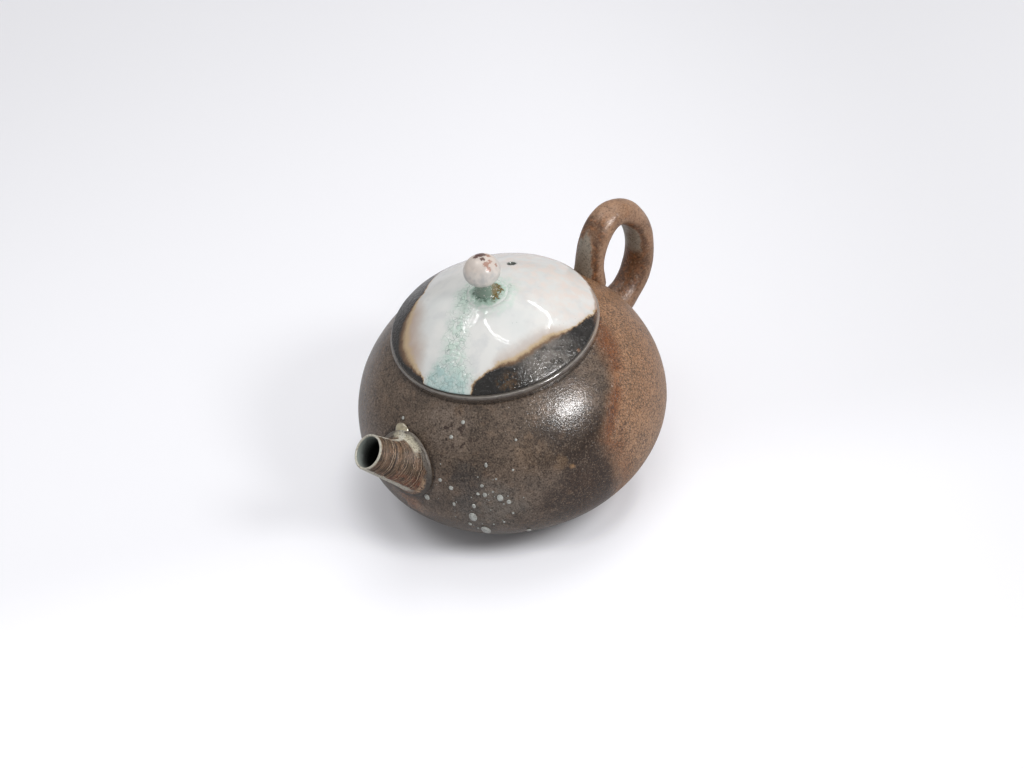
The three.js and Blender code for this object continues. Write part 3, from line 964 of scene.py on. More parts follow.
        ragged = g.plus(g.swing(g.noise(1.8, 5, seed=6), 1.5), g.swing(g.noise(0.5, 3, seed=25), 0.7))
        dark = g.plus(g.field("lid_charcoal"), ragged)
        wide_left = g.spot((-17.5, 10.0, 55.5), 9.5, 9)
        wide_front = g.spot((-4.5, -18.8, 55.3), 9.5, 7)
        wide = g.math("MAXIMUM", wide_left, g.times(wide_front, 0.55))
        share = g.math("DIVIDE", g.plus(dark, g.times(wide, -0.5)), g.blend(wide, 0.4, 2.3))
        colour = g.mix(g.times(g.ease(share, -3.1, -0.5), g.blend(wide, 0.25, 0.95)), colour, self.blush)
        colour = g.mix(g.ease(share, -0.95, -0.25, 0, 0.9), colour, self.ochre)
        colour = g.mix(g.ease(share, -0.35, 0.35, 0, 0.95), colour, self.rust)
        colour = g.mix(g.ease(share, 0.0, 0.95), colour, self.charcoal_colour(g))

        edged = g.times(g.ease(g.fray(reach, 1.2, 2, 3, seed=18), 25.3, 26.0), g.ease(g.x, 12, 19))
        colour = g.mix(g.times(edged, 0.7), colour, self.rim)
        # Painted shade: the lid's lowest edge, at its gap over the collar, is darkened with the charcoal
        # colour.
        colour = g.mix(g.ease(g.z, 50.95, 50.6, 0, 0.85), colour, self.charcoal)
        colour = g.mix(g.spot((13.24, 5.14, 57.5), 1.3, 0.6), colour, self.vent)
        specks = g.times(g.ease(g.cells(2.2, "F1", seed=7), 0.07, 0.03), g.clouds(6, 2, 0.42, 0.56, seed=19))
        colour = g.mix(g.times(specks, 0.6), colour, self.crackle)

        charred = g.ease(share, 0.2, 1.0)
        glossy = g.clouds(5, 2, 0.3, 0.7, 0.04, 0.08, seed=10)
        rough = g.blend(charred, glossy, g.clouds(1.2, 3, 0.3, 0.7, 0.12, 0.34, seed=11))
        relief = g.bump(g.noise(6, 2, seed=13), 0.2)
        relief = g.bump(g.times(charred, g.noise(0.7, 3, seed=14)), 0.26, relief)
        relief = g.bump(crazed, -0.05, relief)
        relief = g.bump(wet_relief, 0.14, relief)
        for crater in self.craters:
            away = g.distance(crater)
            relief = g.bump(g.hump(away, 0.42, 0.26), 0.22, relief)
        return g.fire(colour, rough, relief, Coat_Weight=0.25, Coat_Roughness=0.04)


@dataclass(frozen=True)
class KnobGlaze:
    """Milky white glaze with rust on the crown, jade and olive pooled round the neck."""

    milk: Colour = srgb(224, 217, 210)
    shadow: Colour = srgb(196, 194, 191)
    blush: Colour = srgb(206, 190, 178)
    rust: Colour = srgb(72, 27, 13)
    amber: Colour = srgb(146, 80, 44)
    jade: Colour = srgb(122, 146, 130)
    olive: Colour = srgb(120, 104, 52)
    neck_top: float = 65.4
    crown: tuple[tuple[Place, float, bool], ...] = (
        ((1.6, 1.3, 71.4), 1.35, True), ((0.0, 1.2, 71.7), 0.8, True), ((0.4, -0.8, 71.9), 0.6, True),
        ((-0.2, -2.4, 71.3), 0.75, False), ((-0.5, -3.6, 70.5), 0.55, False), ((1.2, -2.3, 71.2), 0.5, False),
        ((2.4, -0.5, 71.3), 0.6, False), ((1.9, -3.4, 70.1), 0.4, False),
    )  # fmt: skip

    def made(self) -> bpy.types.Material:
        """Mixes the glaze.

        Returns:
            Its material.
        """
        g = Glaze("knob_milky_glaze")
        colour = g.mix(g.clouds(2.0, 4, 0.38, 0.62, seed=1), self.milk, self.shadow)
        colour = g.mix(g.ease(g.fray(g.z, 3, 2, 3, seed=9), 68.5, 71, 0, 0.6), colour, self.blush)
        for place, radius, dark in self.crown:
            patch = g.spot(place, radius, 0.4, 1.8)
            colour = g.mix(g.times(patch, 0.9 if dark else 0.7), colour, self.rust if dark else self.amber)
        below = g.ease(g.fray(g.z, 1.2, 1.2, 3, seed=2), self.neck_top, self.neck_top - 0.9)
        side = g.fray(g.math("SUBTRACT", g.x, g.y), 3, 1.0, 3, seed=3)
        pooled = g.mix(g.ease(side, 1.6, 3.0), self.jade, self.olive)
        pooled = g.mix(g.ease(g.cells(0.7, "F1", seed=4), 0.34, 0.1, 0, 0.8), pooled, self.milk)
        colour = g.mix(g.times(below, 0.9), colour, pooled)
        relief = g.bump(g.noise(2.2, 2, seed=5), 0.05)
        relief = g.bump(g.times(below, g.noise(0.7, 2, seed=6)), 0.15, relief)
        return g.fire(colour, g.clouds(1.5, 2, 0.3, 0.7, 0.3, 0.44, seed=7), relief, Specular_IOR_Level=0.45)


@dataclass(frozen=True)
class PooledGlaze:
    """Glassy glaze that has run into a pool: jade at the neck, paling outwards, with olive bubbles."""

    jade: Colour = srgb(118, 144, 128)
    deep: Colour = srgb(78, 104, 88)
    celadon: Colour = srgb(178, 202, 188)
    pale: Colour = srgb(218, 222, 218)
    olive: Colour = srgb(110, 92, 40)

    def made(self) -> bpy.types.Material:
        """Mixes the glaze.

        Returns:
            Its material.
        """
        g = Glaze("neck_pooled_glaze")
        reach = g.reach()
        frayed = g.fray(reach, 3.5, 1.1, 4)
        green = g.mix(g.clouds(0.9, 3, 0.42, 0.6, seed=6), self.jade, self.deep)
        colour = g.mix(g.ease(frayed, 2.9, 4.2), green, self.celadon)
        colour = g.mix(g.ease(frayed, 4.2, 5.3), colour, self.pale)
        aside = g.plus(g.math("SUBTRACT", g.times(g.x, 0.8), g.y), g.swing(g.noise(1.0, 3, seed=2), 3.0))
        olive = g.times(g.ease(aside, 1.8, 2.8), g.ease(frayed, 4.4, 3.6))
        colour = g.mix(g.times(olive, g.clouds(0.7, 3, 0.38, 0.52, seed=5)), colour, self.olive)
        colour = g.mix(g.ease(g.cells(0.6, "F1", seed=4), 0.3, 0.08, 0, 0.8), colour, self.pale)
        relief = g.bump(g.noise(0.9, 3, seed=3), 0.3)
        return g.fire(colour, 0.06, relief, Coat_Weight=0.4, Coat_Roughness=0.04)


@dataclass(frozen=True)
class DropletGlaze:
    """Pale grey drops of ash glaze."""

    pale: Colour = srgb(186, 188, 182)
    grey: Colour = srgb(148, 148, 142)

    def made(self) -> bpy.types.Material:
        """Mixes the glaze.

        Returns:
            Its material.
        """
        g = Glaze("droplet_glaze")
        colour = g.mix(g.clouds(0.5, 3, 0.4, 0.62), self.pale, self.grey)
        relief = g.bump(g.noise(0.4, 2, seed=2), 0.05)
        return g.fire(colour, 0.22, relief, Coat_Weight=0.3, Coat_Roughness=0.1)


@dataclass(frozen=True)
class InsideGlaze:
    """Thin pale glaze inside the pot and under the lid."""

    pale: Colour = srgb(200, 200, 188)
    tea: Colour = srgb(176, 164, 140)
    speck: Colour = srgb(120, 104, 84)

    def made(self) -> bpy.types.Material:
        """Mixes the glaze.

        Returns:
            Its material.
        """
        g = Glaze("inside_pale_glaze")
        colour = g.mix(g.clouds(8, 4, 0.4, 0.68), self.pale, self.tea)
        colour = g.shade(colour, g.ease(g.cells(2.2, "F1", seed=2), 0.12, 0.04, 0, 0.6), self.speck)
        relief = g.bump(g.math("SINE", g.times(g.z, 2.4)), 0.06)
        rough = g.clouds(4, 2, 0.3, 0.7, 0.18, 0.34, seed=3)
        return g.fire(colour, rough, relief, Coat_Weight=0.2, Coat_Roughness=0.15)


@dataclass(frozen=True)
class BareClay:
    """Unglazed clay, toasted where the flame touched it, with fine turning lines."""

    buff: Colour = srgb(196, 176, 150)
    toast: Colour = srgb(160, 118, 84)
    grit: Colour = srgb(150, 130, 110)

    def made(self) -> bpy.types.Material:
        """Mixes the finish.

        Returns:
            Its material.
        """
        g = Glaze("bare_turned_clay")
        colour = g.mix(g.clouds(6, 4, 0.4, 0.68), self.buff, self.toast)
        colour = g.shade(colour, g.clouds(0.35, 2, 0.5, 0.72, 0, 0.5, seed=2), self.grit)
        reach = g.reach()
        rings = g.math("SINE", g.plus(g.times(reach, 7.5), g.swing(g.noise(5, 2, seed=3), 5)))
        relief = g.bump(rings, 0.04)
        relief = g.bump(g.noise(0.35, 2, seed=4), 0.04, relief)
        return g.fire(colour, 0.78, relief)


# Pieces


@dataclass(frozen=True)
class Globe:
    """The thrown globe: two superellipses that meet at its girth."""

    girth_radius: float = 40.0
    girth_height: float = 23.0
    shoulder_rise: float = 32.3
    underside_drop: float = 24.75
    shoulder_fullness: float = 2.07
    underside_fullness: float = 2.065

    def radius_at(self, height: float, inset: float = 0.0) -> float:
        """The globe's radius at a height, drawn in by an inset.

        Args:
            height: The height.
            inset: How far the globe is drawn in.

        Returns:
            The radius.
        """
        above = height >= self.girth_height
        reach = (self.shoulder_rise if above else self.underside_drop) - inset
        fullness = self.shoulder_fullness if above else self.underside_fullness
        share = min(abs(height - self.girth_height) / reach, 1)
        return (self.girth_radius - inset) * (1 - share**fullness) ** (1 / fullness)

    def height_at(self, radius: float, inset: float = 0.0) -> float:
        """The shoulder's height at a radius.

        Args:
            radius: The radius.
            inset: How far the globe is drawn in.

        Returns:
            The height.
        """
        share = min(radius / (self.girth_radius - inset), 1)
        rise = self.shoulder_rise - inset
        return self.girth_height + rise * (1 - share**self.shoulder_fullness) ** (1 / self.shoulder_fullness)

    def normal(self, turn: float, height: float) -> Vector:
        """The direction square to the globe at a turn in radians and a height.

        Args:
            turn: The turn.
            height: The height.

        Returns:
            The direction, one long.
        """
        step = 0.01
        slope = (self.radius_at(height + step) - self.radius_at(height - step)) / (2 * step)
        return Vector((math.cos(turn), math.sin(turn), -slope)).normalized()

    def point(self, turn: float, height: float, lift: float = 0.0) -> Vector:
        """A point on the globe, or lifted square off it.

        Args:
            turn: Its turn in radians.
            height: Its height.
            lift: How far it is lifted.

        Returns:
            The point.
        """
        radius = self.radius_at(height)
        place = Vector((radius * math.cos(turn), radius * math.sin(turn), height))
        return place + self.normal(turn, height) * lift

    def side(self, bottom: float, top: float, steps: int, inset: float = 0.0) -> Profile:
        """The globe's profile from one height up to another, evenly stepped by angle.

        Args:
            bottom: The lowest height.
            top: The highest height.
            steps: How many stretches each half has.
            inset: How far the globe is drawn in.

        Returns:
            Its points, from the bottom up.
        """
        points = []
        for rise, fullness, end, sign in (
            (self.underside_drop - inset, self.underside_fullness, self.girth_height - bottom, -1),
            (self.shoulder_rise - inset, self.shoulder_fullness, top - self.girth_height, 1),
        ):
            last = math.asin(min(end / rise, 1) ** (fullness / 2))
            half = []
            for i in range(0 if sign > 0 else 1, steps + 1):
                height = self.girth_height + sign * rise * math.sin(last * i / steps) ** (2 / fullness)
                half.append((self.radius_at(height, inset), height))
            points.extend(half if sign > 0 else reversed(half))
        return points


GLOBE = Globe()


def half_drop(name: str, sides: int = 14, rings: int = 8, sunk: float = 0.4) -> bpy.types.Object:
    """A ball of 1 mm radius with its lower part cut off flat.

    Args:
        name: Its name.
        sides: How many sides the ball has.
        rings: How many rings it has.
        sunk: How far below its middle it is cut, in mm.

    Returns:
        The half drop, at the origin.
    """
    put_away()
    bpy.ops.mesh.primitive_uv_sphere_add(segments=sides, ring_count=rings, radius=MM, location=(0, 0, 0))
    drop = named(name)
    bpy.ops.object.mode_set(mode="EDIT")
    bpy.ops.mesh.bisect(plane_co=(0, 0, -sunk * MM), plane_no=(0, 0, 1), clear_inner=True, use_fill=True)
    bpy.ops.object.mode_set(mode="OBJECT")
    return drop


def lay_on_globe(drop: bpy.types.Object, turn: float, height: float, size: Vector) -> None:
    """Scales a half drop and lays it on the globe at a turn in radians and a height."""
    place = Matrix.Translation(GLOBE.point(turn, height) * MM)
    drop.data.transform(place @ facing(GLOBE.normal(turn, height)) @ Matrix.Diagonal((*size, 1)))


@dataclass(frozen=True)
class Droplet:
    """One drop of ash glaze on the globe."""

    turn: float
    height: float
    radius: float
    stretch: float = 1.0


@dataclass
class PotBody:
    """The globe with its foot, its collar and the glaze drops on its front."""

    foot_height: float = 1.2
    foot_radius: float = 17.6
    foot_round: float = 0.3
    foot_steps: int = 4
    wall: float = 2.6
    floor: float = 2.8
    collar_base: float = 26.4
    collar_top: float = 26.6
    collar_height: float = 2.2
    collar_round: float = 0.5
    collar_steps: int = 6
    collar_lift: float = 0.18
    mouth_radius: float = 22.5
    sides: int = 96
    outer_steps: int = 20
    inner_steps: int = 14
    edge_hold: float = 0.25
    flat_hold: float = 2
    inner_hold: float = 3
    bore_sides: int = 48
    swell_size: float = 14
    swell: float = 0.3
    collar_swell: float = 0.15
    drop_height: float = 0.34
    drops: tuple[Droplet, ...] = (
        Droplet(208.2, 45.0, 0.5), Droplet(203.3, 42.2, 0.5), Droplet(176.8, 42.4, 0.45),
        Droplet(199.4, 32.3, 0.5), Droplet(203.7, 30.7, 0.62), Droplet(231.5, 41.3, 0.32),
        Droplet(218.1, 36.9, 0.4, 1.5), Droplet(228.1, 35.2, 0.3), Droplet(221.3, 33.5, 0.28),
        Droplet(215.7, 31.9, 0.45), Droplet(213.8, 29.7, 0.42), Droplet(216.3, 29.4, 0.55, 1.2),
        Droplet(219.4, 30.2, 0.3), Droplet(221.6, 28.3, 0.8, 1.3), Droplet(224.4, 26.9, 0.55, 1.2),
        Droplet(211.5, 25.9, 0.5, 1.5), Droplet(210.2, 22.0, 1.05, 1.5), Droplet(204.0, 25.9, 0.4, 1.6),
        Droplet(225.0, 23.1, 0.3, 1.3), Droplet(212.9, 15.8, 1.2, 2.0), Droplet(193.0, 26.0, 0.75, 1.2),
        Droplet(208.0, 18.8, 0.45, 1.5), Droplet(228.7, 13.4, 0.6, 2.2), Droplet(222.5, 26.4, 0.25),
        Droplet(210.3, 16.8, 0.3, 1.4), Droplet(221.0, 20.0, 0.3, 1.3), Droplet(217.0, 19.2, 0.25),
    )  # fmt: skip
    drop_seed: int = 7
    stray_drops: int = 26
    stray_turn: tuple[float, float] = (214, 11)
    stray_height: tuple[float, float] = (25, 7)
    stray_radius: tuple[float, float] = (0.09, 0.18)
    stray_stretch: tuple[float, float] = (1, 1.5)

    @property
    def seat(self) -> float:
        """The height of the collar's seat on the globe."""
        return GLOBE.height_at(self.collar_base)

    @property
    def rim(self) -> float:
        """The height of the collar's top."""
        return self.seat + self.collar_height + self.collar_lift

    def build(self) -> None:
        """Builds and dresses everything that belongs to the body itself."""
        inside = InsideGlaze().made()
        clay = BareClay().made()
        globe = self.globe()
        dressed(globe, BodyGlaze().made(), Body.POT, Slot.BODY, "body_shell")
        self.line_inside(globe, inside)
        dressed(self.foot(), clay, Body.POT, Slot.CLAY, "foot_disc")
        dressed(self.collar(), CollarGlaze().made(), Body.POT, Slot.COLLAR, "mouth_collar")
        dressed(self.droplets(), DropletGlaze().made(), Body.POT, Slot.BODY)

    def globe(self) -> bpy.types.Object:
        """Turns the hollow globe and pierces it for the spout.

        Returns:
            The globe.
        """
        cavity_floor = self.foot_height + self.floor
        edge = self.edge_hold
        lip = GLOBE.height_at(self.mouth_radius, self.wall)
        bottom_radius = GLOBE.radius_at(self.foot_height)
        outer = GLOBE.side(self.foot_height, self.seat, self.outer_steps)
        inner = GLOBE.side(cavity_floor, lip, self.inner_steps, self.wall)[::-1]
        profile = [
            (0, self.foot_height), (bottom_radius - self.flat_hold, self.foot_height),
            (bottom_radius - edge, self.foot_height), *outer, (self.collar_base - edge, self.seat),
            (self.mouth_radius + edge, self.seat), (self.mouth_radius, self.seat),
            (self.mouth_radius, lip + edge), *inner, (inner[-1][0] - edge, cavity_floor),
            (inner[-1][0] - self.inner_hold, cavity_floor), (0, cavity_floor),
        ]  # fmt: skip
        piece = turned("body_globe", profile, self.sides)
        smoothed(piece, 1)
        spout = Spout()
        end = spout.root - spout.axis * 3 * self.wall
        cut(piece, rod("bore", spout.tip, end, spout.bore_at(spout.length), self.bore_sides))
        hand_made(piece, self.swell_size, self.swell)
        return piece

    def line_inside(self, piece: bpy.types.Object, material: bpy.types.Material) -> None:
        """Gives the faces inside the globe the pale inner glaze.

        Args:
            piece: The globe.
            material: The inner glaze.
        """
        piece.data.materials.append(material)
        for face in piece.data.polygons:
            place = face.center / MM
            reach = math.hypot(place.x, place.y)
            inner_reach = min(GLOBE.radius_at(place.z) - self.wall / 2, self.collar_base - 1)
            over_floor = place.z >= self.foot_height + self.floor / 2
            face.material_index = int(over_floor and reach < inner_reach)

    def foot(self) -> bpy.types.Object:
        """Turns the flat foot.

        Returns:
            The foot.
        """
        size = self.foot_round
        rounding = arc(self.foot_radius - size, size, size, -90, 0, self.foot_steps)
        top = (self.foot_radius, self.foot_height)
        return turned("turned_foot", [(0, 0), *rounding, top, (0, self.foot_height)], self.sides)

    def collar(self) -> bpy.types.Object:
        """Turns the collar on which the lid rests.

        Returns:
            The collar.
        """
        size = self.collar_round
        middle = self.rim - size
        profile = [
            (self.mouth_radius, self.seat), (self.collar_base, self.seat),
            *arc(self.collar_top - size, middle, size, 0, 90, self.collar_steps),
            *arc(self.mouth_radius + size, middle, size, 90, 180, self.collar_steps),
            (self.mouth_radius, self.seat),
        ]  # fmt: skip
        piece = turned("mouth_rim", profile, 2 * self.sides)
        hand_made(piece, self.swell_size, self.collar_swell)
        return piece

    def droplets(self) -> bpy.types.Object:
        """Models one drop of glaze, copies it over the front of the globe and joins the copies.

        Returns:
            All the drops, as one piece.
        """
        first = half_drop("drop")
        chance = random.Random(self.drop_seed)
        stray = [
            Droplet(
                chance.gauss(*self.stray_turn), chance.gauss(*self.stray_height),
                chance.uniform(*self.stray_radius), chance.uniform(*self.stray_stretch),
            )  # fmt: skip
            for _ in range(self.stray_drops)
        ]
        copies = []
        for drop in [*self.drops, *stray]:
            copy = first.copy()
            copy.data = first.data.copy()
            bpy.context.collection.objects.link(copy)
            size = Vector((drop.radius, drop.radius * drop.stretch, self.drop_height * drop.radius))
            lay_on_globe(copy, math.radians(drop.turn), drop.height, size)
            copies.append(copy)
        bpy.data.objects.remove(first)
        return joined("glaze_drops", copies)


@dataclass(frozen=True)
class Mark:
    """What the spout's glaze needs to know at one point of its mesh."""

    place: Vector
    along: float
    groove: float = 0.0
    flare: float = 0.0


@dataclass
class Spout:
    """The short spout, thrown on its own and luted on by its flared root."""

    root_height: float = 32.8
    root_turn: float = math.radians(183)
    heading: float = math.radians(166)
    tilt: float = math.radians(50.9)
    length: float = 13.1
    tip_radius: float = 4.5
    root_radius: float = 5.5
    lip_wall: float = 0.55
    root_wall: float = 1.3
    straight_share: float = 0.6
    flare_half_width: float = 8.8
    flare_half_height: float = 8.4
    flare_edge: float = 0.8
    flare_tuck: float = 0.4
    bury: float = 1.0
    sides: int = 96
    tube_rings: int = 90
    flare_rings: int = 40
    bore_rings: int = 8
    bore_overrun: float = 2.5
    lip_steps: int = 6
    lip_mark: float = 0.3
    ridge_seed: int = 11
    first_ridge: float = 0.9
    ridge_strength: tuple[float, float] = (0.35, 1.0)
    ridge_gap: tuple[float, float] = (0.38, 0.72)
    ridge_depth: float = 0.17
    ridge_width: float = 0.12
    plain_lip: float = 0.5
    ridge_end: float = 0.9
    ridge_fade: float = 4
    ridge_limit: float = 2.0
    climb: float = 0.22
    climb_start: float = 0.6
    wander: float = 0.1
    wander_waves: int = 3
    groove_place: float = 5.6
    groove_depth: float = 0.36
    groove_spread: float = 1.6
    cap_turn: float = math.radians(178.5)
    cap_height: float = 40.2
    cap_size: Place = (2.3, 1.9, 0.8)

    def __post_init__(self) -> None:
        """Works out the spout's own axes and draws its ridges."""
        level, rise = math.cos(self.tilt), math.sin(self.tilt)
        self.side = Vector((math.sin(self.heading), -math.cos(self.heading), 0))
        self.axis = Vector((math.cos(self.heading) * level, math.sin(self.heading) * level, rise))
        self.upward = self.side.cross(self.axis)
        self.root = GLOBE.point(self.root_turn, self.root_height)
        self.tip = self.root + self.axis * self.length
        chance = random.Random(self.ridge_seed)
        self.ridges = []
        reach = self.first_ridge
        while reach < 2 * self.length:
            self.ridges.append((reach, chance.uniform(*self.ridge_strength)))
            reach += chance.uniform(*self.ridge_gap)

    def outward(self, turn: float) -> Vector:
        """The direction out from the axis at a turn round it."""
        return self.side * math.cos(turn) + self.upward * math.sin(turn)

    def bore_at(self, depth: float) -> float:
        """The bore's radius at a depth below the lip."""
        tip = self.tip_radius - self.lip_wall
        return tip + (self.root_radius - self.root_wall - tip) * depth / self.length

    def groove_at(self, depth: float, turn: float) -> float:
        """How deep the throwing marks are at a depth below the lip, one for a common deep one.

        Args:
            depth: How far below the lip.
            turn: The turn round the spout's axis.

        Returns:
            The depth's share.
        """
        climb = self.climb * math.sin(turn + self.climb_start)
        here = depth + (climb + self.wander * math.sin(self.wander_waves * turn + depth))
        marks = sum(
            strength * math.exp(-(((here - place) / self.ridge_width) ** 2))
            for place, strength in self.ridges
        )
        deep = math.exp(-(((here - self.groove_place) / (self.groove_spread * self.ridge_width)) ** 2))
        return min(marks + deep * self.groove_depth / self.ridge_depth, self.ridge_limit)

    def line(self, turn: float) -> list[Mark]:
        """One line of the outside, from the lip down onto the globe and into it.

        Args:
            turn: The line's turn round the spout's axis.

        Returns:
            Its marks, from the lip on.
        """
        lip = self.tip + self.outward(turn) * self.tip_radius
        foot = self.root + self.outward(turn) * self.root_radius
        down = (foot - lip).normalized()
        short, long = 0.0, 3 * self.length
        while long - short > MM:
            middle = (short + long) / 2
            probe = lip + down * middle
            if math.hypot(probe.x, probe.y) > GLOBE.radius_at(probe.z, -self.flare_edge):
                short = middle
            else:
                long = middle
        straight = short * self.straight_share
        bend, meeting = lip + down * straight, lip + down * short
        square = GLOBE.normal(self.root_turn, self.root.z)
        height = self.root.z + self.flare_half_height * math.sin(turn) * math.hypot(square.x, square.y)
        around = self.root_turn - self.flare_half_width * math.cos(turn) / GLOBE.radius_at(self.root.z)
        edge = GLOBE.point(around, height, self.flare_edge)
        spread = (meeting - bend).length + (edge - meeting).length
        marks = []
        for i in range(self.tube_rings):
            depth = straight * i / self.tube_rings
            groove = self.groove_at(depth, turn) * min(max(depth - self.plain_lip, 0), 1)
            place = lip + down * depth - self.outward(turn) * groove * self.ridge_depth
            marks.append(Mark(place, max(depth, 0), groove))
        for i in range(self.flare_rings + 1):
            t = i / self.flare_rings
            depth = straight + spread * t
            fade = min(max(self.ridge_end - t, 0) * self.ridge_fade, 1)
            groove = self.groove_at(depth, turn) * fade
            place = bend * (1 - t) ** 2 + meeting * 2 * t * (1 - t) + edge * t**2
            place = place - self.outward(turn) * groove * self.ridge_depth
            marks.append(Mark(place, depth, groove, t))
        for lift in (self.flare_edge * self.flare_tuck, -self.bury):
            marks.append(Mark(GLOBE.point(around, height, lift), straight + spread + 1, 0, 1))
        return marks

    def inside_rings(self, turns: list[float]) -> list[list[Mark]]:
        """The rings of the bore, from the root up, and of the rounded lip.

        Args:
            turns: The turns at which each ring has a mark.

        Returns:
            The rings.
        """
        rings = []
        half = self.lip_wall / 2
        for i in range(self.bore_rings, 0, -1):
            depth = half + (self.length + self.bore_overrun) * i / self.bore_rings
            centre = self.tip - self.axis * depth
            rings.append([Mark(centre + self.outward(turn) * self.bore_at(depth), -depth) for turn in turns])
        for i in range(self.lip_steps):
            angle = math.pi * (1 - i / self.lip_steps)
            reach = self.tip_radius - half + half * math.cos(angle)
            centre = self.tip + self.axis * half * (math.sin(angle) - 1)
            along = -self.lip_mark + self.lip_mark * i / self.lip_steps
            rings.append([Mark(centre + self.outward(turn) * reach, along) for turn in turns])
        return rings

    def build(self) -> None:
        """Builds and dresses the spout."""
        turns = [FULL_TURN * i / self.sides for i in range(self.sides)]
        lines = [self.line(turn) for turn in turns]
        rings = self.inside_rings(turns)
        rings.extend([line[row] for line in lines] for row in range(2, len(lines[0])))
        piece = swept("spout_tube", [[mark.place for mark in ring] for ring in rings], closed=True)
        self.write_fields(piece, rings)
        dressed(piece, SpoutGlaze().made(), Body.POT, Slot.SPOUT, "spout")
        cap = half_drop("root_glaze_cap")
        lay_on_globe(cap, self.cap_turn, self.cap_height, Vector(self.cap_size))
        smoothed(cap, 1)
        dressed(cap, CapGlaze().made(), Body.POT, Slot.SPOUT)

    def write_fields(self, piece: bpy.types.Object, rings: list[list[Mark]]) -> None:
        """Writes every mark's numbers and its direction from the axis onto the mesh.

        Args:
            piece: The spout.
            rings: Its rings of marks.
        """
        marks = [mark for ring in rings for mark in ring]
        index = nearest(piece, [mark.place for mark in marks])
        turns = np.array([FULL_TURN * (i % self.sides) / self.sides for i in index])
        record_field(piece, "spout_sideward", np.cos(turns))
        record_field(piece, "spout_upward", np.sin(turns))
        for field in ("along", "groove", "flare"):
            record_field(piece, f"spout_{field}", np.array([getattr(marks[i], field) for i in index]))


@dataclass
class Strainer:
    """The pierced half ball inside the pot, over the spout's bore."""

    radius: float = 8.4
    wall: float = 1.5
    hole_radius: float = 0.9
    hole_sides: int = 16
    hole_overrun: float = 2
    sides: int = 48
    steps: int = 12
    hole_rings: tuple[tuple[float, int], ...] = ((0, 1), (28, 6), (54, 9))

    def build(self) -> None:
        """Builds, pierces and dresses the strainer."""
        pot, spout = PotBody(), Spout()
        inward = -GLOBE.normal(spout.root_turn, spout.root.z)
        centre = spout.root - spout.axis * (pot.wall / (-spout.axis).dot(inward))
        hollow = self.radius - self.wall
        profile = [
            *arc(0, 0, self.radius, 0, 90, self.steps), *arc(0, 0, hollow, 90, 0, self.steps),
            (self.radius, 0),
        ]  # fmt: skip
        piece = turned("strainer_half_ball", profile, self.sides)
        holes = []
        for tilt, count in self.hole_rings:
            for i in range(count):
                turn = FULL_TURN * (i + 0.5) / count
                lean = math.radians(tilt)
                level = math.sin(lean)
                aim = Vector((level * math.cos(turn), level * math.sin(turn), math.cos(lean)))
                end = aim * (self.radius + self.hole_overrun)
                holes.append(rod("hole", aim * hollow / 2, end, self.hole_radius, self.hole_sides))
        for hole in holes:
            cut(piece, hole)
        piece.data.transform(Matrix.Translation(centre * MM) @ facing(inward))
        dressed(piece, InsideGlaze().made(), Body.POT, Slot.INSIDE, "strainer_dome")


